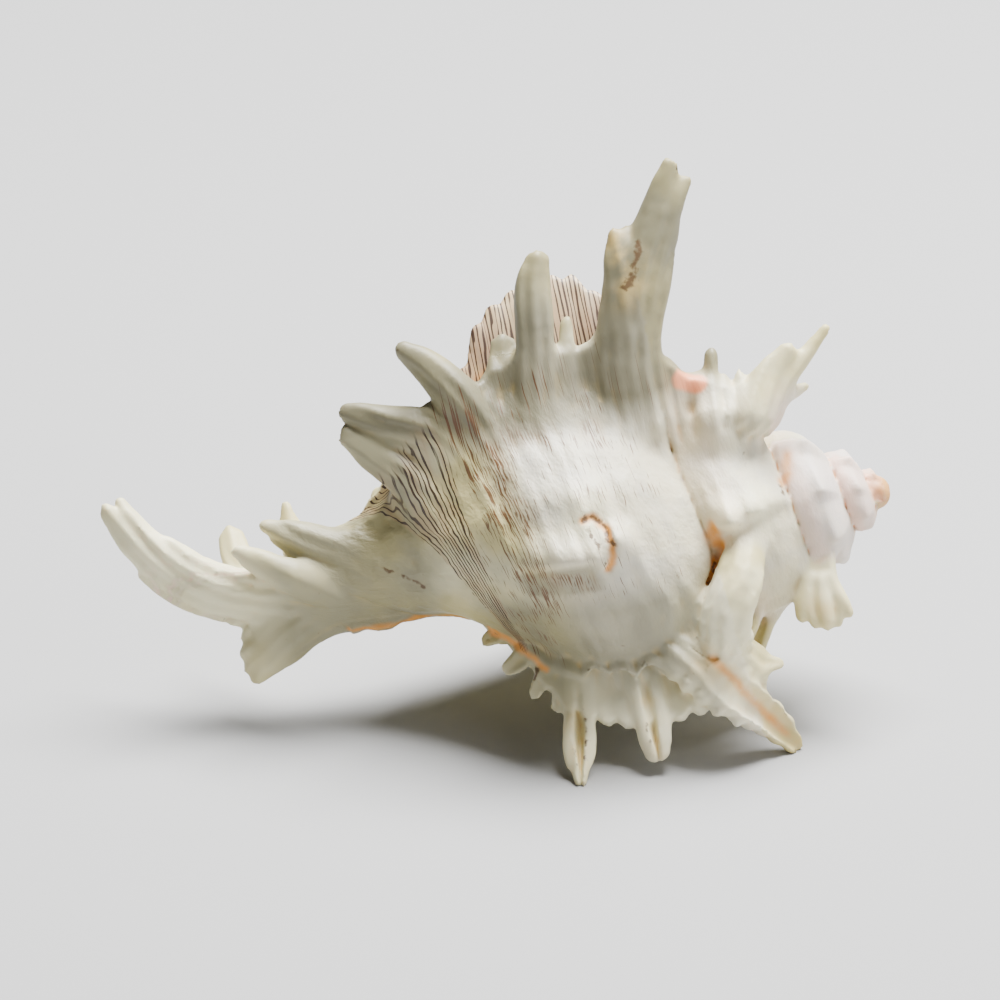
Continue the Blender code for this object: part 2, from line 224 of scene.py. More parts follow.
def varix_rise(angle, station):
    """The thickened rib under each row of fronds, steeper on the side that grew last."""
    before, after = VARIX_SPREAD
    start, rising = VARIX_RISES
    end, fading = VARIX_FADES
    rise = 0.0
    for row in VARIX_ANGLES:
        past = (angle - row + 180.0) % 360.0 - 180.0
        rise = rise + hill(past, 0.0, np.where(past < 0, before, after))
    return rise * np.clip((station - start) / rising, 0, 1) * np.clip((end - station) / fading, 0, 1)


def add_knobs(radius, angle, station):
    """The blunt knobs of the last whorls, and the even row of pointed ones round the spire."""
    for knob_angle, knob_station, before, after, spread, height in KNOBS:
        turn_spread = np.where(angle < knob_angle, before, after)
        radius = radius + height * hill(angle, knob_angle, turn_spread) * hill(station, knob_station, spread)
    knob_station, spread, height = SPIRE_KNOBS
    end, sweep = SPIRE_KNOBS_END
    round_turn = (angle * SPIRE_KNOBS_A_TURN / 360.0) % 1.0
    before_peak = round_turn / SPIRE_KNOB_PEAK
    after_peak = (1 - round_turn) / (1 - SPIRE_KNOB_PEAK)
    tooth = np.where(round_turn < SPIRE_KNOB_PEAK, before_peak, after_peak)
    oldest = np.clip((end - angle) / sweep, 0, 1)
    return radius + height * oldest * tooth ** SPIRE_KNOB_SHARPNESS * hill(station, knob_station, spread)


print(len(VARIX_ANGLES), "varices a turn,", len(KNOBS), "single knobs")

# %% Cords and unevenness
CORD_SPACING = 5.2
CORD_HEIGHT = 0.14
NARROW_SHARE = 0.35
OLD_CORD_SHARE = 0.25
# Station where the cords begin, and the length that takes
CORDS_RISE = (56.0, 8.0)
# How far the cords swing to and fro, and how often in a turn
CORD_SWINGS = ((0.5, 2.3), (0.25, 7.1))
SWELL_HEIGHT = 0.16
RIDGE_SPACING = 6.4
RIDGE_HEIGHT = 0.5
# Middle and spread of the ridges round the shell and along it
RIDGES_ROUND = (-34, 24)
RIDGES_ALONG = (68, 12)
# Length along the axis, sweep in degrees, height
BROAD_RELIEF = (5.0, 15.0, 0.55)
FINE_RELIEF = (2.2, 9.0, 0.22)


def wave(angle, rate):
    return np.sin(np.radians(angle * rate))


def cords(angle, station):
    """Low spiral cords, uneven in height, with slow swells along the growth and ridges low on the body."""
    wander = station
    for swing, rate in CORD_SWINGS:
        wander = wander + swing * wave(angle, rate)
    broad = np.cos(wander * 2 * math.pi / CORD_SPACING)
    narrow = np.cos(wander * 4 * math.pi / CORD_SPACING + 1.0)
    uneven = 0.75 + 0.35 * np.sin(station * 0.61 + 1.3)
    swell = np.sin(np.radians(angle * 11.0) + 0.05 * station) + 0.6 * wave(angle, 23.0)
    ridge = np.cos(wander * 2 * math.pi / RIDGE_SPACING + 0.8 * wave(angle, 9.0))
    ridge = RIDGE_HEIGHT * ridge * hill(angle, *RIDGES_ROUND) * hill(station, *RIDGES_ALONG)
    start, rising = CORDS_RISE
    fade = np.clip((station - start) / rising, 0, 1) * np.where(angle < LIP_ANGLE - 360, OLD_CORD_SHARE, 1.0)
    return fade * (CORD_HEIGHT * (broad + NARROW_SHARE * narrow) * uneven + SWELL_HEIGHT * swell + ridge)


def relief(angle, station):
    """Soft unevenness, drawn out along the growth."""
    length, sweep, broad = BROAD_RELIEF
    wide = np.stack([station / length, angle / sweep, 0 * angle + 0.3 * station], axis=-1).reshape(-1, 3)
    length, sweep, fine = FINE_RELIEF
    small = np.stack([station / length, angle / sweep, 0 * angle], axis=-1).reshape(-1, 3)
    return (broad * soft_noise(wide, 1.0) + fine * soft_noise(small, 1.0, 5.5)).reshape(np.shape(station))


def whorl_radius(angle, station, detail=True):
    """Outer radius of the spiral wall at one angle, counted along all its turns."""
    height, size = spiral(angle)
    scaled = station / height
    radius = outline_radius(scaled) + VARIX_HEIGHT * varix_rise(angle, scaled)
    radius = add_knobs(radius, angle, scaled)
    if detail:
        radius = radius + cords(angle, scaled) + relief(angle, scaled)
    return size * radius


print("a cord every", CORD_SPACING, "mm on the last whorl")

# %% [markdown]
# The outside of the coil is the outermost of all its turns. It is worked out once on a fine table of
# angle and station, and points in space read it by straight interpolation. At the lip the last turn
# stops, and the table's first and last rows differ by one turn: that step is the end of the wall.

# %% The coil's outside as a table
ANGLE_STEP = 0.5
STATION_STEP = 0.4
TABLE_ANGLES = np.arange(LIP_ANGLE - 360.0, LIP_ANGLE + 0.01, ANGLE_STEP)
TABLE_STATIONS = np.arange(3.0, 157.0, STATION_STEP)
STEEPEST = 1.5
# Degrees past the lip in which the wall's end face counts, and over which its outline is carried on
END_REACH = 60.0
WALL_REACH = 2.0
PILLAR_STATION = 50.0


def coil_table():
    """Outer radius over all turns, and the turn that each place of the surface belongs to."""
    angles, stations = np.meshgrid(TABLE_ANGLES, TABLE_STATIONS, indexing='ij')
    core = np.interp(stations, *np.array(COLUMELLA, float).T, left=0.0, right=0.0)
    nub = np.sqrt(np.maximum(APEX_RADIUS ** 2 - (stations - APEX_STATION) ** 2, 0.01))
    radius = np.maximum(core, nub)
    owner = np.zeros(radius.shape)
    for turn in range(OLDER_TURNS + 1):
        wall = whorl_radius(angles - 360.0 * turn, stations)
        owner = np.where(wall > radius, turn, owner)
        crease = SUTURE_DEPTH * hill(wall, radius, SUTURE_SPREAD) * (turn > 0) * (wall > APEX_RADIUS)
        radius = np.maximum(radius, wall) - crease
    return radius.astype(np.float32), owner.astype(np.float32)


def read_table(table, angle, station):
    """Table value at each angle and station."""
    row = np.clip((angle - TABLE_ANGLES[0]) / ANGLE_STEP, 0, table.shape[0] - 1.001)
    column = np.clip((station - TABLE_STATIONS[0]) / STATION_STEP, 0, table.shape[1] - 1.001)
    i, j = row.astype(np.int32), column.astype(np.int32)
    u, v = row - i, column - j
    low = table[i, j] * (1 - v) + table[i, j + 1] * v
    high = table[i + 1, j] * (1 - v) + table[i + 1, j + 1] * v
    return low * (1 - u) + high * u


COIL, OWNER = coil_table()
STEEP = np.sqrt(1 + np.clip(np.gradient(COIL, STATION_STEP, axis=1), -STEEPEST, STEEPEST) ** 2)
print("coil table", COIL.shape, "widest radius", round(float(COIL.max()), 1), "mm")


def round_axis(points):
    """Station, radius, and angle within one turn back from the lip."""
    radius = np.hypot(points[:, 1], points[:, 2])
    angle = np.degrees(np.arctan2(points[:, 1], points[:, 2]))
    first = LIP_ANGLE - 360.0
    return -points[:, 0], radius, (angle - first) % 360.0 + first


def coil_field(station, radius, angle):
    """The solid coil, with the last turn's wall carried on to its end face at the lip."""
    field = (radius - read_table(COIL, angle, station)) / read_table(STEEP, angle, station)
    past_lip = angle + 360.0
    near = past_lip < LIP_ANGLE + END_REACH
    wall = whorl_radius(np.minimum(past_lip[near], LIP_ANGLE + WALL_REACH), station[near])
    end = np.radians(past_lip[near] - LIP_ANGLE) * radius[near]
    field[near] = np.minimum(field[near], np.maximum(radius[near] - wall, end))
    first, last = BODY_STATIONS
    core = np.interp(station, *np.array(COLUMELLA, float).T)
    field = np.minimum(field, np.maximum(radius - core, PILLAR_STATION - station))
    return np.maximum(field, np.maximum(first - station, station - last))


# %% [markdown]
# ## The plates between the fronds
#
# In each row the fronds stand on a thin plate that follows the varix. At the lip there are two: the thick
# one that carries the fronds, and behind it the thin flaring edge of the mouth itself, ribbed and
# scalloped, which the photograph shows between the tall fronds. A low collar follows the canal. An edge is
# a list of stations and radii.

# %% Plates
LIP_EDGE = [
    (32, 20), (38, 36), (46, 40), (54, 46), (60, 51), (66, 52.5), (72, 51), (80, 52), (92, 51), (98, 45),
    (106, 38), (114, 30), (120, 24), (126, 19), (132, 16), (140, 12),
]
FLARE_EDGE = [
    (42, 26), (44, 34), (50, 36), (56, 50), (62, 57), (69, 64), (78, 65), (86, 62.5), (91, 60),
    (95, 56.5), (98, 50), (104, 43), (114, 33), (122, 26), (130, 17.5), (138, 13),
]
LOWER_EDGE = [
    (38, 22), (44, 34), (50, 44), (54, 48), (60, 47), (66, 48.5), (76, 47), (82, 45), (90, 39),
    (94, 32), (98, 25), (102, 18), (106, 12),
]
BACK_EDGE = [
    (34, 16), (42, 27), (50, 36), (60, 40), (72, 40), (84, 37), (94, 30), (104, 23), (114, 17), (124, 12),
]
COLLAR_EDGE = [
    (98, 20), (102.6, 19.2), (105.1, 14.8), (110, 10.9), (115.2, 9.2), (120.5, 9.3), (124.4, 10.4),
    (130.4, 10.4), (136, 9),
]
# Edge, angle, lean in degrees per millimetre, radius where it begins, thickness, fillet,
# scallop depth, scallop length
PLATES = [
    (LIP_EDGE, 60.5, 0.25, 38.0, 3.4, 3.5, 0.8, 7.0),
    (FLARE_EDGE, 67.0, 0.55, 38.0, 2.0, 1.5, 1.5, 5.2),
    (LOWER_EDGE, -64.0, -0.10, 34.0, 3.2, 3.0, 1.5, 4.4),
    (BACK_EDGE, -176.0, 0.20, 28.0, 3.0, 4.0, 0.8, 6.0),
    (COLLAR_EDGE, -75.0, 0.0, 10.0, 1.6, 1.0, 1.2, 9.0),
]
PLATE_LEAST_RADIUS = 8.0
# How far the edge waves from side to side, against its scallops, and the share of the reach where that starts
EDGE_FLUTTER = 0.25
FLUTTER_FROM = 0.6


def plate_field(plate, station, radius, angle):
    edge, middle, lean, lean_from, thickness, _, scallop, length = plate
    stations, radii = np.array(edge, float).T
    wave = np.abs(np.sin(station * math.pi / length + 0.7))
    reach = np.interp(station, stations, radii, left=0.0, right=0.0) + scallop * (wave - 0.5)
    turned = middle + lean * np.maximum(radius - lean_from, 0.0)
    off = np.radians((angle - turned + 180.0) % 360.0 - 180.0) * radius
    near_edge = np.clip(radius / reach.clip(1) - FLUTTER_FROM, 0, 1)
    off = off + EDGE_FLUTTER * scallop * np.cos(station * 2 * math.pi / length) * near_edge
    return np.maximum(np.maximum(np.abs(off) - thickness / 2, radius - reach), PLATE_LEAST_RADIUS - radius)


print(len(PLATES), "plates")

# %% [markdown]
# ## The fronds
#
# A frond is a gutter that was never closed: an oval rod, hollowed on the side that grew last. Each has a
# route through a few places, a half width at each of them, a thickness against its width, and the depth
# and width of its gutter. The upper fronds turn their gutters to the back and the lower ones to the front.

# %% Where the fronds stand
# Name, route as (station, radius, angle), half widths, thickness, gutter depth, gutter width, fillet
FRONDS = [
    ("lip shoulder", [(59.5, 33, 56), (59.5, 50, 62), (53.5, 66.5, 67), (46.5, 79, 70), (41.7, 89.3, 71)],
     [9.0, 7.6, 7.4, 5.0, 2.4], 0.70, 0.7, 0.62, 4.5),
    ("lip shoulder lobe", [(59, 55, 62), (58, 69, 66), (58, 76, 68)], [5.2, 3.4, 2.4], 0.70, 0.5, 0.6, 2.5),
    ("lip shoulder tip", [(47, 74, 69), (42, 81, 70), (38.8, 84.8, 71)],
     [3.6, 2.6, 1.4], 0.80, 0.0, 0.5, 1.5),
    ("lip second", [(84, 38, 56), (81, 55.5, 63), (79.5, 66.5, 67), (77.4, 73, 69)],
     [6.2, 4.8, 4.3, 2.8], 0.75, 0.8, 0.62, 4.0),
    ("lip fold", [(75, 42, 58), (73.5, 51, 63), (72.5, 56.5, 67)], [3.0, 2.4, 1.6], 0.6, 0.5, 0.6, 2.0),
    ("lip ruffle", [(90, 42, 60), (89, 49, 65), (88.5, 54, 69)], [4.4, 3.8, 2.8], 0.5, 0.7, 0.6, 2.0),
    ("lip third", [(96, 36, 54), (101.5, 47.5, 60), (107, 54.5, 64), (111.5, 58, 66)],
     [6.7, 5.7, 4.2, 2.4], 0.75, 0.8, 0.62, 4.0),
    ("lip fourth", [(103, 31, 51), (110, 39, 58), (119.5, 42, 63), (127.5, 45, 66)],
     [6.7, 5.7, 4.3, 2.2], 0.75, 0.8, 0.62, 4.0),
    ("lip fifth", [(111, 24, 47), (118, 31, 55), (124, 35.5, 60), (129, 39.5, 63)],
     [7.1, 5.7, 3.6, 1.8], 0.75, 0.8, 0.62, 4.0),
    ("lip sixth", [(117, 20, 60), (122, 20, 75), (124, 20.5, 85)], [4.3, 3.2, 2.2], 0.80, 0.5, 0.6, 3.0),
    ("old canal tip", [(154, 9, -87), (158, 13, -86), (160.2, 16.2, -86)],
     [4.0, 2.6, 0.9], 0.70, 0.0, 0.5, 1.5),
    ("old canal fold", [(154, 7, -84), (158, 9.5, -80), (160.4, 9.8, -78)],
     [3.0, 2.0, 0.9], 0.70, 0.0, 0.5, 1.2),
    ("canal third", [(122, 6, 30), (135, 13, 50), (144, 17, 58), (151, 21, 62)],
     [6.2, 5.2, 4.3, 2.2], 0.80, 0.8, 0.6, 3.0),
    ("canal third lobe", [(144.5, 13, 80), (145.5, 18, 86), (146, 22.5, 88)],
     [4.3, 3.1, 1.8], 0.70, 0.5, 0.6, 2.0),
    ("canal second", [(138, 6, 4), (147, 13, 25), (154.5, 16, 42), (159, 18.5, 50)],
     [4.6, 4.3, 3.1, 1.6], 0.90, 0.7, 0.6, 2.5),
    ("canal second lobe", [(153, 4, 100), (158, 10, 115), (160, 14, 115), (160.5, 19, 115)],
     [4.8, 4.8, 3.8, 3.1], 0.70, 0.5, 0.6, 2.0),
    ("canal", [(120, 2, 25), (139.5, 1.5, 42), (156, 3, 49), (169.5, 8.5, 61),
               (179.5, 18, 67), (187, 30, 72)],
     [8.1, 7.4, 7.4, 6.8, 5.8, 2.6], 0.55, 0.0, 0.5, 5.0),
    ("canal tip", [(178, 18, 70), (183, 27, 74), (184.5, 31.5, 75)], [3.0, 2.4, 1.4], 0.90, 0.0, 0.5, 1.2),
    ("old canal", [(118, 2, -90), (137.5, 2, -90), (150.5, 6.5, -90), (157, 10.5, -86)],
     [6.4, 7.6, 6.7, 5.0], 0.45, 0.0, 0.5, 4.0),
    ("lower first", [(85, 31, -62), (86.3, 41, -64), (87.6, 50, -65), (89, 59, -65)],
     [5.7, 3.6, 4.0, 2.0], 0.75, 1.0, 0.30, 2.2),
    ("lower second", [(70.5, 33, -60), (70, 45.5, -64), (70, 51.5, -66), (70, 54.5, -67)],
     [5.7, 4.5, 3.8, 2.8], 0.80, 0.9, 0.26, 2.2),
    ("lower shoulder", [(59, 36, -54), (50.5, 45.5, -62), (42.5, 50, -74), (36.5, 57, -81)],
     [6.7, 6.2, 4.8, 1.9], 0.75, 0.75, 0.72, 2.0),
    ("back shoulder", [(57, 26, -174), (57.5, 38, -172), (58, 50, -164), (58, 57.8, -158)],
     [6.0, 5.0, 4.0, 2.6], 0.80, 0.8, 0.55, 3.0),
    ("back second", [(82, 16, -174), (85, 28, -172), (89, 41, -164), (92, 50.5, -158)],
     [5.6, 4.6, 3.6, 2.4], 0.80, 0.8, 0.55, 3.0),
    ("frill first", [(98, 19, -58), (102, 19.5, -61), (104.6, 19.8, -63)],
     [3.0, 2.8, 2.3], 0.50, 0.6, 0.6, 0.8),
    ("frill second", [(94, 25, -58), (98, 27, -62), (100.6, 28, -64)], [3.2, 3.1, 2.5], 0.50, 0.6, 0.6, 0.8),
    ("frill third", [(90, 30, -60), (93.5, 33, -63), (95.6, 35, -65)], [3.3, 3.0, 2.4], 0.50, 0.6, 0.6, 0.8),
    ("frill fourth", [(86, 34, -60), (89, 37, -63), (91, 39.5, -65)], [3.3, 3.0, 2.2], 0.50, 0.6, 0.6, 0.8),
    ("spire lower shoulder", [(41, 23, -16), (44, 30.5, -28), (49, 35, -42), (49, 36.5, -57), (45, 39, -66)],
     [5.2, 6.2, 7.0, 6.4, 4.6], 0.80, 0.0, 0.6, 2.0),
    ("spire lower lobe", [(46, 36, -60), (42, 38.5, -64), (38.5, 39, -65)],
     [4.0, 3.2, 1.8], 0.60, 0.4, 0.5, 1.2),
    ("spire lower fold", [(50, 36, -54), (51, 40, -57), (51.5, 43.5, -59)],
     [4.4, 3.8, 2.4], 0.50, 0.6, 0.6, 1.2),
    ("spire lower second", [(35.5, 17.5, -77), (40.5, 26, -81), (43.5, 33, -80)],
     [4.3, 3.3, 2.2], 0.70, 0.6, 0.6, 3.0),
    ("spire upper first", [(42.5, 33, 50), (41.5, 38, 62), (40.5, 42.5, 66)],
     [4.3, 2.4, 1.7], 0.80, 0.6, 0.6, 3.0),
    ("spire upper web", [(37.5, 24, 50), (35.5, 32.5, 58), (35, 35.5, 62)],
     [6.2, 6.2, 3.4], 0.50, 0.6, 0.6, 3.0),
    ("spire upper second", [(33, 30.5, 50), (28, 36, 60), (23, 41, 64)],
     [4.8, 4.0, 2.4], 0.80, 0.7, 0.6, 3.0),
    ("spire upper third", [(30.5, 28.5, 54), (24, 34.5, 62), (18.5, 38.5, 67), (13, 43, 70)],
     [3.8, 3.1, 2.2, 1.7], 0.80, 0.7, 0.6, 2.5),
    ("spire upper fourth", [(25, 30, 62), (22, 30, 66), (20, 30, 68)], [2.4, 1.8, 1.2], 0.80, 0.0, 0.5, 2.0),
    ("spire fan", [(24, 14, -44), (25, 22, -57), (25, 26.5, -64)], [3.6, 4.0, 5.6], 0.45, 0.3, 0.7, 3.0),
    ("spire fan first rib", [(26.5, 21, -58), (29, 25, -63), (30, 27.5, -66)],
     [2.4, 2.2, 1.6], 0.9, 0.0, 0.5, 0.8),
    ("spire fan second rib", [(24.5, 22, -57), (25, 27, -62), (25, 30, -65)],
     [2.4, 2.2, 1.7], 0.9, 0.0, 0.5, 0.8),
    ("spire fan third rib", [(22.5, 21, -58), (20.5, 26, -63), (19.5, 28.5, -66)],
     [2.4, 2.2, 1.6], 0.9, 0.0, 0.5, 0.8),
]
print(len(FRONDS), "fronds, lobes and frills")

# %% One frond
ROUTE_STEPS = 15
RIB_SPACING = 3.4
RIB_HEIGHT = 0.26
# Length across the frond, along it and through it
GRAIN = (1.9, 30.0, 9.0)
GRAIN_HEIGHT = 0.42
FRILLED_FROND = "lower shoulder"
FRILL_SPACING = 4.2
FRILL_SHARE = 0.09
# Share of the frond's length where its gutter begins, and the share over which it deepens
GUTTER_FROM = 0.15
GUTTER_DEEPENS = 0.35
GUTTER_REACH = 1.5
GUTTER_SLOPE = 0.8
GUTTER_ROUNDING = 0.5


def frond_guide(frond):
    """The frond's route as points, its half widths there, and how far along each point is."""
    corners = np.array([point_at(*map(float, place)) for place in frond[1]])
    centres = smooth_curve(corners, ROUTE_STEPS)
    widths = smooth_curve(np.array(frond[2])[:, None], ROUTE_STEPS)[:, 0]
    along = np.r_[0.0, np.cumsum(np.linalg.norm(np.diff(centres, axis=0), axis=1))]
    return centres, widths, along


def frond_field(frond, points):
    centres, widths, along = frond_guide(frond)
    _, _, _, flat, gutter, gutter_width, _ = frond
    count = len(points)
    nearest = np.full(count, 1e9, np.float32)
    across, depth, beyond, width, passed = (np.zeros(count, np.float32) for _ in range(5))
    for step in range(ROUTE_STEPS - 1):
        start, end = centres[step], centres[step + 1]
        length = along[step + 1] - along[step]
        forward = (end - start) / length
        turn = math.atan2((start + end)[1], (start + end)[2])
        growth = np.array([0.0, math.cos(turn), -math.sin(turn)])
        growth -= growth.dot(forward) * forward
        growth /= np.linalg.norm(growth)
        side = np.cross(forward, growth)
        reach = np.clip((points - start) @ forward, 0.0, length)
        away = points - start - reach[:, None] * forward
        distance = (away ** 2).sum(1)
        closer = distance < nearest
        nearest[closer] = distance[closer]
        across[closer] = away[closer] @ side
        depth[closer] = away[closer] @ growth
        beyond[closer] = away[closer] @ forward
        share = reach[closer] / length
        width[closer] = widths[step] * (1 - share) + widths[step + 1] * share
        passed[closer] = along[step] + reach[closer]
    thick = width * flat
    frilled = FRILL_SHARE * (frond[0] == FRILLED_FROND)
    ruffle = 1 + frilled * np.sin(passed * 2 * math.pi / FRILL_SPACING + width)
    ribs = RIB_HEIGHT * np.cos(across * 2 * math.pi / RIB_SPACING) * np.clip(width / 5, 0, 1)
    oval = np.sqrt((across / (width * ruffle)) ** 2 + (depth / thick) ** 2 + (beyond / width) ** 2)
    field = (oval - 1) * np.minimum(width, thick) - ribs
    across_grain, along_grain, through_grain = GRAIN
    shift = 3.0 * len(frond[0])
    grain = np.stack([across / across_grain, passed / along_grain + shift, depth / through_grain], axis=1)
    field = field - GRAIN_HEIGHT * soft_noise(grain, 1.0)
    if gutter > 0:
        opened = np.clip((passed / along[-1] - GUTTER_FROM) / GUTTER_DEEPENS, 0.02, 1) * gutter
        sunk = (depth - thick) / (GUTTER_REACH * thick * opened)
        hollow = np.sqrt((across / (width * gutter_width)) ** 2 + sunk ** 2)
        tool = (hollow - 1) * width * gutter_width * GUTTER_SLOPE
        field = carve(field, tool, GUTTER_ROUNDING)
    return field


# %% [markdown]
# ## The mouth and what is cut away
#
# The hollow follows the outline, one wall thickness in, round the pillar in the middle and over the whorl
# before it. It runs back more than a turn, as in the real shell. A narrow slit carries on from it
# along the back of the canal. Two more grooves are on the front: the open end of a suture, and an arched
# scar. The lowest frond tips are worn flat on the ground.

# %% The hollow, and three grooves
WALL = 2.8
PILLAR_RADIUS = 9.0
# Station from which the pillar widens towards the spire, and by how much
PILLAR_WIDENS = (78.0, 0.5)
FLOOR_WALL = 0.6
HOLLOW_STATIONS = (60.0, 120.0)
CANAL_END_SLOPE = 0.8
# Degrees that it runs past the lip, and back from it
HOLLOW_PAST_LIP = 70.0
HOLLOW_TURN = 400.0
CRINKLE = 0.35
CRINKLE_SPACING = 4.0
CRINKLE_SWEEP = 14.0
FAR = 99.0
SLIT_ROUTE = [
    (116, 12, 118), (124, 8.5, 140), (134, 7, 150), (145, 6, 130), (156, 6.5, 105), (168, 11, 88),
    (178, 19, 82), (186, 29.5, 80),
]
SUTURE_GROOVE = [
    (50.5, 27.5, 6), (48.8, 26.5, -3), (47.6, 25.5, -11), (47.2, 24.5, -18), (48.2, 24.5, -25),
    (51.0, 26.0, -33),
]
# Station and angle of an arched scar on the body
SCAR_ROUTE = [(77.5, 9), (75.2, 9.5), (73.0, 6), (72.4, 0), (72.8, -6), (73.6, -9)]
SCAR_LIFT = 0.3
SCAR_GROOVE = [
    (station, read_table(COIL, np.array(float(angle)), np.array(float(station))) + SCAR_LIFT, angle)
    for station, angle in SCAR_ROUTE
]
# Route and half width
GROOVES = [(SLIT_ROUTE, 1.1), (SUTURE_GROOVE, 1.6), (SCAR_GROOVE, 1.0)]


def hollow_field(station, radius, angle):
    field = np.full(len(station), FAR)
    for turn in (1, 0, -1):
        unwrapped = angle + 360.0 * turn
        height, size = spiral(unwrapped)
        scaled = station / height
        reach = radius / np.maximum(size, 1e-3)
        near_lip = np.clip((unwrapped - LIP_ANGLE + CRINKLE_SWEEP) / CRINKLE_SWEEP, 0, 1)
        crinkle = CRINKLE * np.cos(scaled * 2 * math.pi / CRINKLE_SPACING) * near_lip
        widens_from, widening = PILLAR_WIDENS
        inner = PILLAR_RADIUS + widening * np.maximum(widens_from - scaled, 0.0)
        start, end = HOLLOW_STATIONS
        outside = np.maximum(reach - (outline_radius(scaled) - WALL - crinkle), inner - reach)
        outside = np.maximum(outside, np.maximum(start - scaled, CANAL_END_SLOPE * (scaled - end)))
        floor = whorl_radius(unwrapped - 360.0, station, False) - radius + FLOOR_WALL
        outside = np.maximum(outside * size, floor)
        real = (unwrapped < LIP_ANGLE + HOLLOW_PAST_LIP) & (unwrapped > LIP_ANGLE - HOLLOW_TURN)
        field = np.where(real, np.minimum(field, outside), field)
    return field


def route_points(route, count=30):
    return smooth_curve(np.array([point_at(*map(float, place)) for place in route]), count)


def tube_field(centres, half_width, points):
    """A round tube along a line of points."""
    nearest = np.full(len(points), 1e9)
    for start, end in zip(centres, centres[1:]):
        forward = end - start
        share = np.clip((points - start) @ forward / forward.dot(forward), 0, 1)
        nearest = np.minimum(nearest, ((points - start - share[:, None] * forward) ** 2).sum(1))
    return np.sqrt(nearest) - half_width


print("wall", WALL, "mm,", len(GROOVES), "grooves")

# %% [markdown]
# ## All of it together
#
# `shell_field` adds the pieces in the order in which they cover each other. Two scales of soft noise
# make the surface a little uneven, as growth is. The scalloped crest is the thin edge that the last whorl's
# wall left where it started from the lower row of fronds.

# %% The whole field
CREST = [(52, -48), (56, -50), (62, -52), (70, -54), (78, -55.5), (86, -58), (94, -62)]
CREST_HEIGHT = 2.2
CREST_HALF_WIDTH = 0.85
CREST_SCALLOP = 6.5
CREST_SWING = 3.2
# Station where it begins, or ends, and the length that takes
CREST_BEGINS = (50.0, 4.0)
CREST_ENDS = (96.0, 6.0)
# How far it stands off the coil, and the height over which it fades
CREST_TOP = (5.0, 2.0)
FROND_MARGIN = 7.0
GROOVE_MARGIN = 4.0
MOUTH_ROUNDING = 1.0
GROOVE_ROUNDING = 0.8
# Height, width and shift of the lumps
UNEVEN = ((0.34, 8.0, 0.0), (0.11, 2.6, 11.5))


def near(points, centres, margin):
    """Indices of the points within a box round some centres."""
    low = centres.min(0) - margin
    high = centres.max(0) + margin
    return np.flatnonzero(((points > low) & (points < high)).all(1))


def crest_rise(station, radius, angle):
    stations, angles = np.array(CREST, float).T
    scallop = CREST_SWING * np.abs(np.sin(station * math.pi / CREST_SCALLOP))
    middle = np.interp(station, stations, angles) + scallop
    off = np.radians(angle - middle) * radius
    start, rising = CREST_BEGINS
    end, fading = CREST_ENDS
    top, fade = CREST_TOP
    ends = np.clip((station - start) / rising, 0, 1) * np.clip((end - station) / fading, 0, 1)
    ends = ends * np.clip((read_table(COIL, angle, station) + top - radius) / fade, 0, 1)
    return CREST_HEIGHT * ends * hill(off, 0.0, CREST_HALF_WIDTH)


def shell_field(points):
    station, radius, angle = round_axis(points)
    field = coil_field(station, radius, angle)
    for plate in PLATES:
        field = join(field, plate_field(plate, station, radius, angle), plate[5])
    for frond in FRONDS:
        centres, widths, _ = frond_guide(frond)
        chosen = near(points, centres, widths.max() + FROND_MARGIN)
        field[chosen] = join(field[chosen], frond_field(frond, points[chosen]), frond[6])
    field = field - crest_rise(station, radius, angle)
    for height, width, shift in UNEVEN:
        field = field + height * soft_noise(points, width, shift)
    field = carve(field, hollow_field(station, radius, angle), MOUTH_ROUNDING)
    for route, half_width in GROOVES:
        centres = route_points(route)
        chosen = near(points, centres, GROOVE_MARGIN)
        groove = tube_field(centres, half_width, points[chosen])
        field[chosen] = carve(field[chosen], groove, GROOVE_ROUNDING)
    ground = points @ LAY[2, :3] + LAY[2, 3]
    return np.maximum(field, -ground / MM)


# %% [markdown]
# ## From the field to a mesh
#
# The field is sampled on a grid. Far from the surface the exact number doesn't matter, so a coarse grid
# comes first, and the fine one is filled only round the places where the coarse one is near zero. The
# surface is then drawn by surface nets: every grid cell that the surface passes through gets one point, at
# the average of the places where it crosses the cell's edges, and neighbours are joined by quads.

# %% Grid and surface nets
CELL = 0.6
COARSE = 4
GRID_LOW = np.array([-193.0, -63.0, -60.0])
GRID_HIGH = np.array([1.0, 93.0, 52.0])
BAND = 3.2


def in_chunks(function, points, size=400000):
    parts = [function(points[start:start + size]) for start in range(0, len(points), size)]
    return np.concatenate(parts)


def sample_field():
    """The field on the fine grid, exact only near the surface."""
    blocks = np.ceil((GRID_HIGH - GRID_LOW) / (CELL * COARSE)).astype(int)
    corners = np.indices(blocks + 1).reshape(3, -1).T * (CELL * COARSE) + GRID_LOW
    coarse = in_chunks(shell_field, corners).reshape(blocks + 1)
    close = np.abs(coarse) < BAND
    busy = np.zeros(blocks, bool)
    for offset in np.ndindex(2, 2, 2):
        corner = tuple(slice(start, start + size) for start, size in zip(offset, blocks))
        busy |= close[corner]
    fine = coarse[:-1, :-1, :-1]
    for axis in range(3):
        fine = np.repeat(fine, COARSE, axis=axis)
        busy = np.repeat(busy, COARSE, axis=axis)
    fine = np.where(fine < 0, -BAND, BAND).astype(np.float32)
    cells = np.argwhere(busy)
    fine[busy] = in_chunks(shell_field, cells * CELL + GRID_LOW)
    return fine


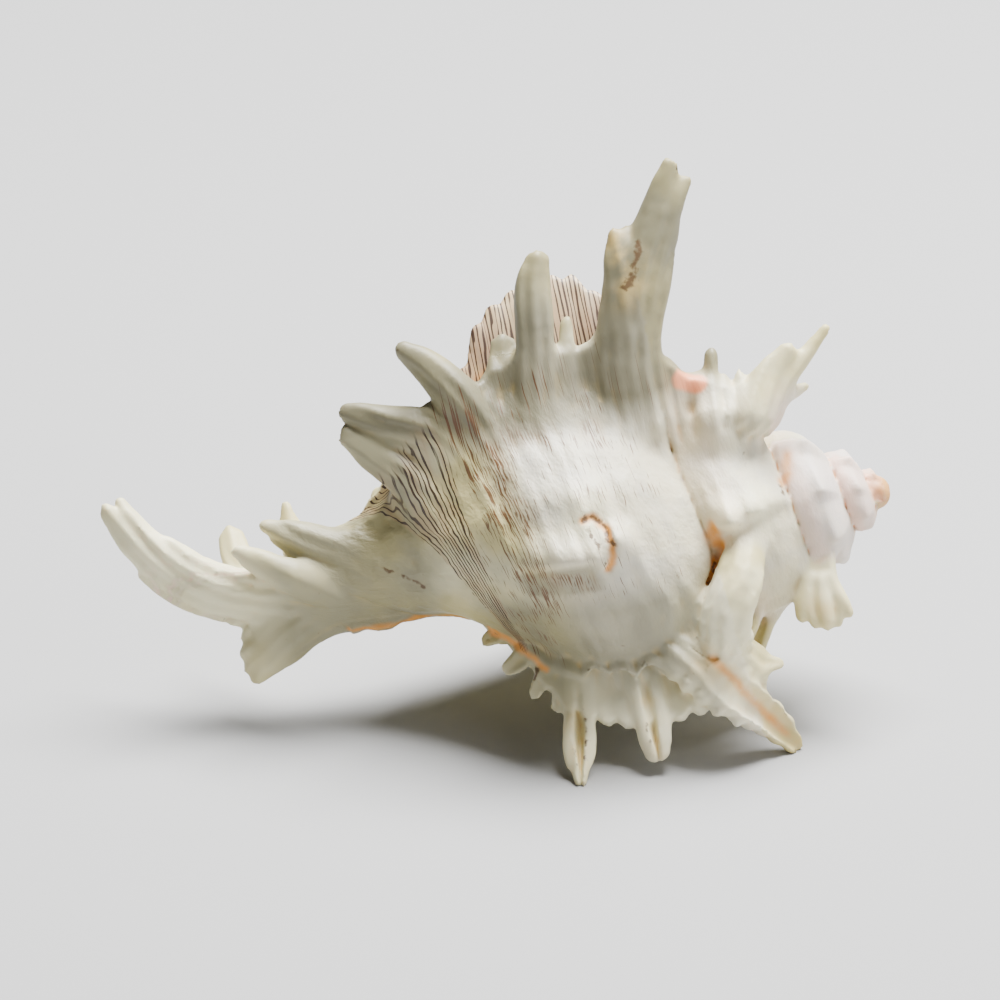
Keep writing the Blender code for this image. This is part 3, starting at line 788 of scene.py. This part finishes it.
def surface_nets(field):
    """Points and quads of the surface where the field is zero."""
    shape = np.array(field.shape)
    starts, shares, axes, flips = [], [], [], []
    for axis in range(3):
        low = [slice(None)] * 3
        high = [slice(None)] * 3
        low[axis] = slice(0, -1)
        high[axis] = slice(1, None)
        one, other = field[tuple(low)], field[tuple(high)]
        place = np.argwhere((one < 0) != (other < 0))
        before, after = one[tuple(place.T)], other[tuple(place.T)]
        starts.append(place)
        shares.append(before / (before - after))
        axes.append(np.full(len(place), axis))
        flips.append((before < 0) != (axis == 1))
    owners, positions = [], []
    for place, share, axis in zip(starts, shares, range(3)):
        crossing = place.astype(np.float64)
        crossing[:, axis] += share
        first, second = [other for other in range(3) if other != axis]
        corners = []
        for shift in ((0, 0), (1, 0), (1, 1), (0, 1)):
            cell = place.copy()
            cell[:, first] -= shift[0]
            cell[:, second] -= shift[1]
            corners.append(np.ravel_multi_index(cell.T, shape))
        owners.append(np.stack(corners, axis=1))
        positions.append(crossing)
    owners = np.vstack(owners)
    positions = np.vstack(positions)
    names, quads = np.unique(owners, return_inverse=True)
    quads = quads.reshape(owners.shape)
    flips = np.concatenate(flips)
    quads = np.where(flips[:, None], quads, quads[:, ::-1])
    share_count = np.bincount(quads.ravel(), minlength=len(names))
    points = np.zeros((len(names), 3))
    for axis in range(3):
        total = np.bincount(quads.ravel(), weights=np.repeat(positions[:, axis], 4), minlength=len(names))
        points[:, axis] = total / share_count
    return points * CELL + GRID_LOW, quads


def mesh_from(name, points, quads):
    mesh = bpy.data.meshes.new(name)
    mesh.vertices.add(len(points))
    mesh.vertices.foreach_set("co", to_world(points).astype(np.float32).ravel())
    mesh.loops.add(quads.size)
    mesh.loops.foreach_set("vertex_index", quads.astype(np.int32).ravel())
    mesh.polygons.add(len(quads))
    mesh.polygons.foreach_set("loop_start", np.arange(0, quads.size, 4, dtype=np.int32))
    mesh.update(calc_edges=True)
    mesh.validate()
    return mesh


started = time.time()
surface_points, surface_quads = surface_nets(sample_field())
print("grown in", round(time.time() - started, 1), "s:", len(surface_points), "points")

# %% [markdown]
# The raw surface is relaxed twice to take off the grid's trace, and then thinned out to the
# triangles it needs: flat stretches give theirs up first, so the frills keep what they have.

# %% The shell's mesh
TRIANGLES = 190000


def evaluated_mesh(thing):
    bpy.context.view_layer.update()
    graph = bpy.context.evaluated_depsgraph_get()
    return bpy.data.meshes.new_from_object(thing.evaluated_get(graph))


shell = bpy.data.objects.new("murex_shell", mesh_from("murex_shell", surface_points, surface_quads))
bpy.context.scene.collection.objects.link(shell)
relax = shell.modifiers.new("relax", 'SMOOTH')
relax.factor = 0.5
relax.iterations = 2
thin = shell.modifiers.new("thin out", 'DECIMATE')
thin.ratio = min(1.0, TRIANGLES / (2.0 * len(surface_quads)))
shell.data = evaluated_mesh(shell)
shell.modifiers.clear()
shell.data.shade_smooth()
print("shell mesh:", len(shell.data.polygons), "faces after", round(time.time() - started, 1), "s")

# %% [markdown]
# ## What grew where
#
# Colour follows growth as the form does: brown lines run along the cords, the youngest whorls are cream
# and the oldest pink, and orange shows where the edge of the mouth once was. So each point of the mesh is
# given its place on the coil and a few weights, and the material does the rest. `cord` is the station with
# the growth of the whorl taken out. `thread` is the cord again, but drawn together between one varix and
# the next, because the brown lines fan out from a narrow bundle. Single marks follow short routes of their
# own, which are first moved onto the surface.

# %% Place on the coil
# Height off the coil over which its pattern fades, and how much that grows from an angle on, over a sweep
PATTERN_HEIGHT = 2.5
PATTERN_GROWS = (9.0, 30.0, 12.0)
PATTERN_SHARE = 1.6
INSIDE_DEPTH = 1.5
# Degrees before and after the flare's middle, and the radii between which it stands clear
FLARE_SPREAD = (3, 20)
FLARE_RADII = (42, 70)
# Where the cords swing back before the lip: angle, sweep and how far
CORDS_SWING_BACK = (44.0, 20.0, 6.0)


def between(value, low, high, soft):
    """1 from low to high, falling to 0 over the soft distance outside."""
    return np.clip((value - low) / soft + 1, 0, 1) * np.clip((high - value) / soft + 1, 0, 1)


class Place:
    """Where the points of the surface lie on the coil."""

    def __init__(self, points):
        self.station, self.radius, self.angle = round_axis(points)
        self.turn = np.round(read_table(OWNER, self.angle, self.station))
        self.growth = self.angle - 360.0 * self.turn
        self.cord = self.station / spiral(self.growth)[0]
        from_angle, sweep, back = CORDS_SWING_BACK
        self.swept = self.cord - back * np.clip((self.growth - from_angle) / sweep, 0, 1) ** 2
        self.inside = np.clip(INSIDE_DEPTH - hollow_field(self.station, self.radius, self.angle), 0, 1)
        more, from_angle, sweep = PATTERN_GROWS
        margin = PATTERN_HEIGHT + more * np.clip((self.angle - from_angle) / sweep, 0, 1)
        above = self.radius - read_table(COIL, self.angle, self.station)
        self.on_coil = np.clip(PATTERN_SHARE - above / margin, 0, 1)
        _, middle, lean, lean_from = PLATES[1][:4]
        flare = middle + lean * np.maximum(self.radius - lean_from, 0.0)
        before, after = FLARE_SPREAD
        on_flare = between(self.angle + 360.0, flare - before, flare + after, 0.5)
        self.past_lip = on_flare * between(self.radius, *FLARE_RADII, 1)


# %% [markdown]
# The long lines are strongest in one band of cords, which is narrow at each varix and spreads towards the
# next. On the flare they run straight out to the edge. The shorter dashes lie between that band and the
# shoulder, and over the hidden side.

# %% Brown lines and dashes
ROW_GAP = 120.0
# Cords between which the long lines run, where they are spread and where they are gathered
BROWN_BAND = (107.5, 123.5)
LEAST_BAND = (113.0, 118.5)
BAND_SWEEP = (-60, 25)
BAND_EDGE = 1.5
GATHERED_STRENGTH = 0.5
GATHER_CORD = 115.3
# How wide the brown band is at each angle, against its width at the lip
GATHERED = [(-56, 0.34), (-40, 0.42), (-13, 0.50), (16, 0.60), (36, 0.82), (50, 1.0)]
# Low, high and soft edge of each range: angles or cords or stations
BUNDLE_SWEEP = (-130, 90, 20)
FLARE_STATIONS = (58, 118, 4)
FLARE_THREADS_A_MM = 1.3
FLARE_STRENGTH = 1.1
BROKEN_BAND = (97.5, 105.0, 2.0)
BROKEN_SWEEP = (-24, 62, 8)
# Cords, angles and strength of the sparser dashes
DASHED = [
    ((64.0, 97.0, 4.0), (18, 60, 8), 0.45),
    ((64.0, 97.0, 4.0), (-20, 14, 8), 0.25),
    ((104, 112, 3), (-60, 20, 12), 0.5),
    ((82, 124, 5), (-290, -100, 12), 0.6),
]


def long_lines(place):
    """Strength of the long lines, and the thread number that draws them."""
    last_row, row_before = VARIX_ANGLES[:2]
    repeated = (place.growth - last_row) % ROW_GAP + row_before
    since = np.where(place.growth > row_before, place.growth, repeated)
    spread = np.interp(since, *np.array(GATHERED).T)
    fanned = GATHER_CORD + (place.swept - GATHER_CORD) / spread
    thread = np.where(place.past_lip > 0, FLARE_THREADS_A_MM * place.station, fanned)
    edges = [np.interp(since, BAND_SWEEP, pair) for pair in zip(LEAST_BAND, BROWN_BAND)]
    lines = between(thread, *edges, BAND_EDGE) * (1 - place.inside) * (place.turn == 0)
    lines = lines * (1 + GATHERED_STRENGTH * (1 - spread)) * between(place.growth, *BUNDLE_SWEEP)
    on_flare = FLARE_STRENGTH * between(place.station, *FLARE_STATIONS) * place.past_lip
    return np.where(place.past_lip > 0, on_flare, lines * place.on_coil), thread


def short_dashes(place):
    """Strength of the dashes between the long lines and the shoulder."""
    dashes = between(place.swept, *BROKEN_BAND) * between(place.growth, *BROKEN_SWEEP)
    for band, sweep, strength in DASHED:
        dashes = np.maximum(dashes, strength * between(place.cord, *band) * between(place.growth, *sweep))
    return dashes


# %% [markdown]
# Stains and the orange edges are single marks, and so are the places lightened with painted light. Each
# follows a short route or sits at one place, and fades with the distance from it.

# %% Single marks and places of painted light
FOLD_ROUTE = [(53.5, 40.5, -50), (49.5, 43.5, -58), (44.5, 47.5, -70), (38.5, 54, -80)]
CANAL_EDGE_ROUTE = [
    (136, 9, -75), (130, 10, -75), (124.4, 10.2, -75), (120.5, 9, -75), (115.2, 9, -75),
    (110, 10.7, -74), (105.1, 14.4, -68), (102.5, 18, -60), (99, 22, -58), (95.5, 27, -59),
]
# Tint, route through places as (station, radius, angle), size, strength
TINTED = [
    ("orange", SUTURE_GROOVE[1:], 2.4, 1.0),
    ("brown", SUTURE_GROOVE[3:], 1.1, 0.8),
    ("orange", SCAR_GROOVE, 1.3, 1.0),
    ("brown", SCAR_GROOVE[:4], 0.9, 1.0),
    ("brown", [(76, 41.5, 7), (76, 40.5, 0), (75, 39.5, -6)], 0.6, 0.8),
    ("orange", CANAL_EDGE_ROUTE, 1.0, 0.9),
    ("orange", [(103, 16.5, -56), (99.5, 21, -57), (96, 26, -58), (92, 31, -60)], 1.0, 0.95),
    ("brown", [(96.5, 32, -60), (95, 30, -59)], 0.8, 0.9),
    # Painted shade: dark lines in the deep slits of the two lowest front fronds
    ("brown", [(86.4, 43, -59), (87.2, 49, -60), (88.1, 55, -61), (88.8, 60, -62)], 0.7, 0.75),
    ("brown", [(71.5, 46, -60), (70.9, 50, -61), (70.6, 54, -62)], 0.6, 0.6),
    ("salmon", [(47.5, 41.5, 56), (45.5, 40, 56)], 3.2, 1.0),
    ("yellow", [(94.7, 49, 71), (92, 50, 70)], 4.2, 0.8),
    ("orange", [(95.5, 47, 69), (93, 48.5, 69)], 1.9, 0.7),
    ("yellow", [(58.5, 76, 66), (57.5, 71, 65)], 3.4, 0.8),
    ("brown", [(53.7, 75, 65), (53.9, 71, 63), (55.5, 68, 62), (57.2, 65.5, 62)], 1.4, 0.85),
    ("yellow", [(55, 70, 63), (57.5, 65, 62)], 4.0, 0.5),
    ("orange", FOLD_ROUTE, 1.5, 0.75),
    ("yellow", FOLD_ROUTE, 4.6, 0.55),
    ("yellow", [(88, 44, -63), (89, 57, -65)], 2.6, 0.6),
    ("yellow", [(70, 44, -62), (70, 54, -67)], 2.6, 0.6),
    ("orange", [(6, 3, -90), (5, 2.5, 0), (6, 3, 60)], 5.0, 0.8),
    ("orange", [(27, 18.5, 44), (27.6, 18, 34), (29, 18, 22)], 1.9, 0.8),
    ("brown", [(30, 18.5, 16), (31, 19, 13)], 1.0, 0.9),
    ("brown", [(125.4, 14.9, 15), (122.2, 15.1, 6), (119.4, 15.6, -2), (117.2, 16.2, -8)], 0.7, 0.85),
    ("yellow", [(24, 26, -62), (26, 29, -64)], 4.0, 0.5),
    ("tan", [(95.5, 37, 44), (94, 36.5, 34)], 3.2, 0.8),
    ("tan", [(91.9, 36, 20), (90, 36, 14)], 3.6, 0.7),
    ("tan", [(92, 38.5, 48), (84, 39, 44)], 3.0, 0.5),
    ("tan", [(71.5, 38.5, 46), (70.5, 38, 38)], 2.6, 0.7),
    ("tan", [(86, 37, -11), (80, 38, -13)], 3.0, 0.7),
]


def tint_weights(points):
    """How strongly each tint of the list shows at each point. Each route is first laid on the surface."""
    tree = KDTree(len(points))
    for index, point in enumerate(points):
        tree.insert(point, index)
    tree.balance()
    weights = {name: np.zeros(len(points)) for name in ("orange", "brown", "yellow", "salmon", "tan")}
    for name, route, size, strength in TINTED:
        centres = np.array([tree.find(place)[0] for place in route_points(route, 16)])
        # A small step between them, because two may be laid on the same point
        centres = centres + 1e-4 * np.arange(len(centres))[:, None]
        distance = tube_field(centres, 0.0, points)
        weights[name] = np.maximum(weights[name], strength * hill(distance, 0.0, size))
    return weights


# Place as (station, radius, angle) and size of each spot of painted light, a lighter colour that stands in
# for light falling there
PAINTED_LIGHT_PLACES = [
    ((77, 42, 10), 6.0), ((50, 38, -40), 10.0), ((48, 47, -56), 8.0), ((44, 31, 0), 7.0),
    ((36, 27, 4), 6.0), ((165, 8, 50), 14.0), ((178, 17, 62), 12.0), ((93, 44, 6), 5.0),
    ((70, 54, 66), 3.0), ((25, 26, -62), 6.0), ((88, 52, -62), 9.0), ((80, 45, -62), 8.0),
    ((71, 48, -62), 10.0), ((62, 46, -60), 8.0),
]


# Painted light: how strongly each point is lightened
def painted_light_weight(points):
    weight = np.zeros(len(points))
    for place, size in PAINTED_LIGHT_PLACES:
        distance = np.linalg.norm(points - point_at(*map(float, place)), axis=1)
        weight = np.maximum(weight, hill(distance, 0.0, size))
    return weight


# %% Gutters and creases
def hollows(mesh, points, rounds=2):
    """How much each point lies below the points round it, smoothed over a few rounds."""
    edges = np.zeros(len(mesh.edges) * 2, np.int32)
    mesh.edges.foreach_get("vertices", edges)
    one, other = edges.reshape(-1, 2).T
    count = np.bincount(one, minlength=len(points)) + np.bincount(other, minlength=len(points))
    normals = np.zeros(len(points) * 3, np.float32)
    mesh.vertices.foreach_get("normal", normals)
    normals = normals.reshape(-1, 3) @ LAY[:3, :3] / MM

    def around(values):
        total = np.bincount(one, values[other], len(points)) + np.bincount(other, values[one], len(points))
        return total / count.clip(1)

    middle = np.stack([around(points[:, axis]) for axis in range(3)], axis=1)
    depth = ((middle - points) * normals).sum(1)
    for _ in range(rounds):
        depth = 0.5 * depth + 0.5 * around(depth)
    return depth


# %% [markdown]
# The rest is by age and by painted shade: older whorls are cooler and pinker; the lip's front, the canal, the
# foot of the body and the underside of the ledge get painted shade, a duller grey; and gutters and creases
# get some yellow, partly the shell's own colour there and partly painted crease shade.

# %% Painting the mesh
# Places darkened with painted shade: the lip's front, the canal, the foot of the body and the ledge's
# underside
# Low, high and soft edge of each range: angles or stations or cords
SHADED_LIP_FRONT = ((46, 75, 6), (37, 135, 2))
SHADED_CANAL = ((118, 150, 8), (-100, 60, 10))
SHADED_BODY_FOOT = ((56, 100, 8), (-56, -26, 12))
SHADED_LEDGE_UNDERSIDE = ((86, 103, 3), (-16, -7, 2))
COOL_BODY = ((54, 92, 10), (-75.0, 62.0, 4.0))
ROOT_DASHES = ((36, 50, 6), (50, 92, 3))
# Pink for each turn back, the turn it starts from, and the most that it comes to
PINK_WITH_AGE = (0.28, 1.4, 0.8)
# Pink along the old sutures, the cord where it starts, and the cords that takes
PINK_SUTURES = (0.3, 72, 10)
PINK_FLARE = 0.35
# Crease tint: partly the shell's own yellow there, partly painted crease shade
GUTTER_STRENGTH = 6.0


def painted_shade_places(place):
    """Painted shade on the lip's front, the canal, the foot of the body and under the ledge, and the lip's
    front by itself.
    """
    round_front = np.where(place.angle < -240, place.angle + 360, place.angle)
    sweep, stations = SHADED_LIP_FRONT
    lip = between(round_front, *sweep) * np.clip((place.radius - 36) / 6, 0, 1)
    lip = lip * between(place.station, *stations)
    stations, sweep = SHADED_CANAL
    canal = between(place.station, *stations) * between(place.angle, *sweep)
    stations, sweep = SHADED_BODY_FOOT
    body = between(place.station, *stations) * between(place.growth, *sweep)
    band, sweep = SHADED_LEDGE_UNDERSIDE
    ledge = between(place.growth, *sweep) * between(place.cord, *band) * (place.turn == 0)
    body = np.maximum(body, 0.9 * ledge)
    return np.maximum(0.95 * lip, np.maximum(0.7 * canal, 0.8 * body)), lip


def paint(mesh):
    """Writes what the material needs to know of each point, as attributes of the mesh."""
    world_points = np.zeros(len(mesh.vertices) * 3, np.float32)
    mesh.vertices.foreach_get("co", world_points)
    points = (world_points.reshape(-1, 3) - LAY[:3, 3]) @ np.linalg.inv(LAY[:3, :3]).T
    place = Place(points)
    lines, thread = long_lines(place)
    # Painted shade: a darker grey where these places lie in shade
    painted_shade, lip = painted_shade_places(place)
    old = np.clip(place.turn - 0.5, 0, 1)
    each_turn, first_turn, most = PINK_WITH_AGE
    pink = place.on_coil * np.clip(each_turn * (place.turn - first_turn), 0, most)
    share, first_cord, rising = PINK_SUTURES
    pink = pink + share * place.on_coil * old * np.clip((place.cord - first_cord) / rising, 0, 1)
    pink = np.maximum(pink, PINK_FLARE * place.past_lip * between(place.station, *FLARE_STATIONS))
    band, sweep = COOL_BODY
    front = between(place.growth, *sweep) * (1 - place.inside)
    radii, stations = ROOT_DASHES
    rooted = 0.32 * lip * between(place.radius, *radii) * between(place.station, *stations)
    dashes = np.maximum(short_dashes(place) * place.on_coil, rooted)
    weights = tint_weights(points)
    weights.update({
        "pink": pink,
        "cool": np.maximum(0.9 * old * place.on_coil, 0.5 * between(place.cord, *band) * front),
        "painted_shade": painted_shade * (1 - place.inside),
        # Painted shade, kept off the inside of the mouth
        "inside": place.inside,
        "lines": lines,
        "dashes": dashes * (1 - place.inside) * (1 - np.clip(lines, 0, 1)),
        "coil": place.on_coil * (1 - place.inside),
        "old": old,
        # Painted light at the listed places
        "painted_light": painted_light_weight(points),
        "cord": place.cord,
        "thread": thread,
        "growth": place.angle,
        # Crease tint: partly the shell's own colour, partly painted crease shade
        "hollow": np.clip(hollows(mesh, points) * GUTTER_STRENGTH, -1, 1),
    })
    for name, values in weights.items():
        layer = mesh.attributes.new(name, 'FLOAT', 'POINT')
        layer.data.foreach_set("value", values.astype(np.float32))
    return weights


weights = paint(shell.data)
print("painted:", {name: round(float(values.mean()), 3) for name, values in weights.items()})

# %% [markdown]
# ## Writing a material as arithmetic
#
# A material is a network of nodes. It reads better as arithmetic, so this class wraps one output of a node
# and each operator adds the node that does it.

# %% A socket that can be calculated with
class Value:
    def __init__(self, tree, socket=None):
        self.tree = tree
        self.socket = socket

    def node(self, kind, settings, sockets, output=0):
        """Adds a node: its type, its settings, then a value or a link for sockets by name or number."""
        made = self.tree.nodes.new(kind)
        for name, setting in settings.items():
            setattr(made, name, setting)
        for key, given in sockets.items():
            if isinstance(given, Value):
                self.tree.links.new(given.socket, made.inputs[key])
            else:
                made.inputs[key].default_value = given
        return Value(self.tree, made.outputs[output])

    def maths(self, operation, *numbers):
        return self.node('ShaderNodeMath', {"operation": operation}, dict(enumerate(numbers)))

    def __add__(self, other):
        return self.maths('ADD', self, other)

    def __sub__(self, other):
        return self.maths('SUBTRACT', self, other)

    def __rsub__(self, other):
        return self.maths('SUBTRACT', other, self)

    def __mul__(self, other):
        return self.maths('MULTIPLY', self, other)

    __radd__ = __add__
    __rmul__ = __mul__

    def cosine(self):
        return self.maths('COSINE', self)

    def at_least(self, other):
        return self.maths('MAXIMUM', self, other)

    def ramp(self, low, high):
        """0 below low and 1 above high, smooth between."""
        sockets = dict(enumerate((self, low, high, 0.0, 1.0)))
        return self.node('ShaderNodeMapRange', {"interpolation_type": 'SMOOTHSTEP'}, sockets)

    def blend(self, other, share):
        """This colour with a share of another."""
        return self.node('ShaderNodeMix', {"data_type": 'RGBA'}, {0: share, 6: self, 7: other}, output=2)


# %% [markdown]
# ## The shell's surface
#
# The long brown lines are a cosine of the thread number, pushed about by noise so that no two are the
# same distance apart, and broken up by a second noise that runs along the growth. The short ones are a
# noise drawn out along the growth. Ripples too small for the mesh are bump. The wall lets a little light
# through, as thin shell does.

# %% Colours and noises
CREAM = (0.58, 0.51, 0.24, 1)
WHITE = (0.66, 0.61, 0.38, 1)
COOL = (0.76, 0.73, 0.73, 1)
PINK = (0.86, 0.47, 0.34, 1)
ORANGE = (0.74, 0.31, 0.05, 1)
SALMON = (0.88, 0.33, 0.16, 1)
YELLOW = (0.76, 0.53, 0.17, 1)
BROWN = (0.030, 0.011, 0.006, 1)
RUST = (0.125, 0.043, 0.013, 1)
# Dark brown, for stains and for painted shade in the frond slits
STAIN_AND_SLIT_SHADE = (0.095, 0.048, 0.018, 1)
TAN = (0.42, 0.24, 0.12, 1)
# A dull grey, used both for random mottling and for painted shade
GREY_MOTTLE_AND_SHADE = (0.17, 0.155, 0.09, 1)
# A light cream for painted light
PAINTED_LIGHT_CREAM = (0.90, 0.85, 0.58, 1)
NACRE = (0.82, 0.70, 0.62, 1)
LINE_SPACING = 1.3
HAIR_SPACING = 0.75


def layer(tree, name):
    """What the mesh carries under a name."""
    return Value(tree).node('ShaderNodeAttribute', {"attribute_name": name}, {}, output="Fac")


def noise(space, scale, detail):
    return space.node('ShaderNodeTexNoise', {}, {"Vector": space, "Scale": scale, "Detail": detail})


def stretched(cord, growth, shift=0.0):
    """Space counted in cords across the growth and degrees along it."""
    return cord.node('ShaderNodeCombineXYZ', {}, {"X": cord, "Y": growth, "Z": shift})


print("long lines every", LINE_SPACING, "cords")

# %% Brown and tan coats
def brown_coats(tree, mottle, specks):
    """Each brown with its share of the surface, from the faintest to the darkest."""
    cord, growth = layer(tree, "cord"), layer(tree, "growth")
    density, dashes = layer(tree, "lines"), layer(tree, "dashes")
    grain = stretched(cord * 0.55, growth * 0.055)
    fine_grain = stretched(cord * 0.9, growth * 0.35)
    drift = (noise(grain, 0.55, 2.0) - 0.5) * 2.4 + (noise(fine_grain, 0.45, 1.0) - 0.5) * 1.3
    wavy = layer(tree, "thread") + drift
    wavy_cord = cord + drift * 0.6

    each_line = {"W": wavy, "Scale": 0.9, "Detail": 1.0}
    own_strength = wavy.node('ShaderNodeTexNoise', {"noise_dimensions": '1D'}, each_line)
    fading = (own_strength - 0.5) * 2.4 + (noise(grain, 0.9, 2.0) - 0.5) * 1.8
    gathering = (density - 1.0).at_least(0.0)
    long_line = ((wavy * (2 * math.pi / LINE_SPACING)).cosine() + fading + gathering).ramp(0.30, 0.74)
    broken = noise(grain, 1.0, 3.0)
    line = long_line * density.ramp(0.5, 0.8) * broken.ramp(0.22, 0.40)

    streaks = stretched(wavy_cord * 3.2, growth * 0.085, 3.0)
    short_line = (noise(streaks, 1.0, 2.0) + dashes * 0.17).ramp(0.68, 0.74) * dashes.ramp(0.02, 0.2)
    short_streaks = stretched(wavy_cord * 1.5, growth * 0.11, 3.0)
    hair_noise = (noise(short_streaks, 1.6, 3.0) - 0.5) * 8.0
    hair = ((wavy_cord * (2 * math.pi / HAIR_SPACING)).cosine() + hair_noise).ramp(0.2, 0.9)
    # Brown stains, and painted shade in the slits of the lowest fronds
    stain_and_slit_shade = (layer(tree, "brown") - 0.42 + (mottle - 0.5) * 0.9 + (specks - 0.5) * 2.0).ramp(0.0, 0.5)
    tan = layer(tree, "tan")
    under_lines = density.ramp(0.3, 1.0) * 0.40
    return [
        (TAN, (tan * 0.35).at_least(under_lines) * broken.ramp(0.35, 0.65)),
        (RUST, tan.ramp(0.15, 0.7) * hair * 0.85),
        (RUST, short_line * 0.9),
        (STAIN_AND_SLIT_SHADE, stain_and_slit_shade * 0.9),
        (BROWN, line * 0.95),
    ]


# %% Material
def shell_surface():
    material = bpy.data.materials.new("shell_surface")
    material.use_nodes = True
    tree = material.node_tree
    principled = tree.nodes["Principled BSDF"]

    place = Value(tree).node('ShaderNodeTexCoord', {}, {}, output="Object")
    blotches = noise(place, 45.0, 3.0)
    patchy = noise(place, 90.0, 5.0)
    mottle = noise(place, 160.0, 4.0)
    specks = noise(place, 520.0, 3.0)
    pink, hollow = layer(tree, "pink"), layer(tree, "hollow")
    dull = mottle.ramp(0.45, 0.75) * 0.2 + patchy.ramp(0.45, 0.7) * 0.22
    coats = [
        (WHITE, blotches.ramp(0.40, 0.62)),
        (GREY_MOTTLE_AND_SHADE, dull * layer(tree, "coil")),
        (COOL, layer(tree, "cool") * (0.55 + 0.45 * mottle)),
        # Painted shade: a duller grey on the lip's front, the canal, the foot of the body and under the ledge
        (GREY_MOTTLE_AND_SHADE, layer(tree, "painted_shade") * (0.65 + 0.35 * blotches.ramp(0.3, 0.6))),
        # Painted light: lighter cream where light from the floor and side is stood in for
        (PAINTED_LIGHT_CREAM, layer(tree, "painted_light") * (0.6 + 0.4 * mottle)),
        (NACRE, layer(tree, "inside")),
        # Yellow in gutters and creases: partly the shell's own colour, partly painted crease shade
        (YELLOW, hollow.ramp(0.05, 0.8) * 0.45),
        (YELLOW, layer(tree, "yellow") * mottle.ramp(0.3, 0.7)),
        (PINK, pink * (0.4 + 0.6 * blotches)),
        (SALMON, layer(tree, "salmon").ramp(0.35, 0.75)),
        # Orange in the creases of old whorls: partly the shell's own colour, partly painted crease shade
        (ORANGE, hollow.ramp(0.1, 0.8) * pink.ramp(0.05, 0.3) * 0.6),
        (ORANGE, (layer(tree, "orange") * (0.35 + 1.1 * mottle)).ramp(0.1, 1.0)),
    ]
    colour = Value(tree).node('ShaderNodeRGB', {}, {})
    colour.socket.default_value = CREAM
    for tint, share in coats + brown_coats(tree, mottle, specks):
        colour = colour.blend(tint, share)
    tree.links.new(colour.socket, principled.inputs["Base Color"])

    rough = 0.50 - 0.22 * layer(tree, "inside") + 0.12 * (mottle - 0.5)
    tree.links.new(rough.socket, principled.inputs["Roughness"])
    principled.inputs["Subsurface Weight"].default_value = 0.12
    principled.inputs["Subsurface Radius"].default_value = (1.0, 0.7, 0.5)
    principled.inputs["Subsurface Scale"].default_value = 0.003

    wall = layer(tree, "coil") * (1 - layer(tree, "old") * 0.7)
    fine_grain = stretched(layer(tree, "cord") * 0.9, layer(tree, "growth") * 0.35)
    ripples = noise(fine_grain, 0.6, 3.0) * 0.7 + noise(fine_grain, 1.3, 3.0) * 0.25
    height = ripples * wall + noise(place, 150.0, 3.0) * 0.35
    bump = height.node('ShaderNodeBump', {}, {"Strength": 0.55, "Distance": 0.0008, "Height": height})
    tree.links.new(bump.socket, principled.inputs["Normal"])
    return material


shell.data.materials.clear()
shell.data.materials.append(shell_surface())
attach(shell, "root")
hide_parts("shell")

# %% [markdown]
# ## Floor, light and camera
#
# The photograph has soft light from above and behind, and a weak one from the right. One large lamp over
# the shell gives the first, the pale floor throws some of it back up, and a second lamp fills the front.
# The camera looks down by the photograph's angle.

# %% Stage
VIEW_CENTRE = Vector((0.00101, 0.00663, 0.05018))
CAMERA_ELEVATION = 25.0
CAMERA_DISTANCE = 2.0
FRAME_WIDTH = 0.2381
LAMP_AIM = Vector((0, 0, 0.05))
SKY_STRENGTH = 0.10


def plain_material(name, colour, roughness):
    material = bpy.data.materials.new(name)
    material.use_nodes = True
    principled = material.node_tree.nodes["Principled BSDF"]
    principled.inputs["Base Color"].default_value = (*colour, 1)
    principled.inputs["Roughness"].default_value = roughness
    return material


bpy.ops.mesh.primitive_plane_add(size=6.0, location=(0, 0, 0))
floor = bpy.context.object
floor.name = "floor"
floor.data.materials.append(plain_material("floor", (0.36, 0.36, 0.36), 0.9))

world = bpy.data.worlds.new("studio")
bpy.context.scene.world = world
world.use_nodes = True
world.node_tree.nodes["Background"].inputs["Color"].default_value = (1, 1, 1, 1)
world.node_tree.nodes["Background"].inputs["Strength"].default_value = SKY_STRENGTH


def area_light(name, place, size, power):
    light = bpy.data.lights.new(name, 'AREA')
    light.energy = power
    light.size = size
    lamp = bpy.data.objects.new(name, light)
    lamp.location = place
    lamp.rotation_euler = (LAMP_AIM - Vector(place)).to_track_quat('-Z', 'Y').to_euler()
    bpy.context.scene.collection.objects.link(lamp)
    return lamp


area_light("overhead", (0.24, 0.30, 1.18), 0.8, 98.0)
area_light("fill", (1.05, -0.60, 0.45), 1.0, 9.0)

camera_data = bpy.data.cameras.new("camera")
camera_data.lens = camera_data.sensor_width * CAMERA_DISTANCE / FRAME_WIDTH
camera_data.clip_end = 20.0
camera = bpy.data.objects.new("camera", camera_data)
tilt = math.radians(CAMERA_ELEVATION)
camera.location = VIEW_CENTRE + CAMERA_DISTANCE * Vector((0, -math.cos(tilt), math.sin(tilt)))
camera.rotation_euler = (math.pi / 2 - tilt, 0, 0)
bpy.context.scene.collection.objects.link(camera)
bpy.context.scene.camera = camera
print("camera", CAMERA_DISTANCE, "m away, lens", round(camera_data.lens), "mm")
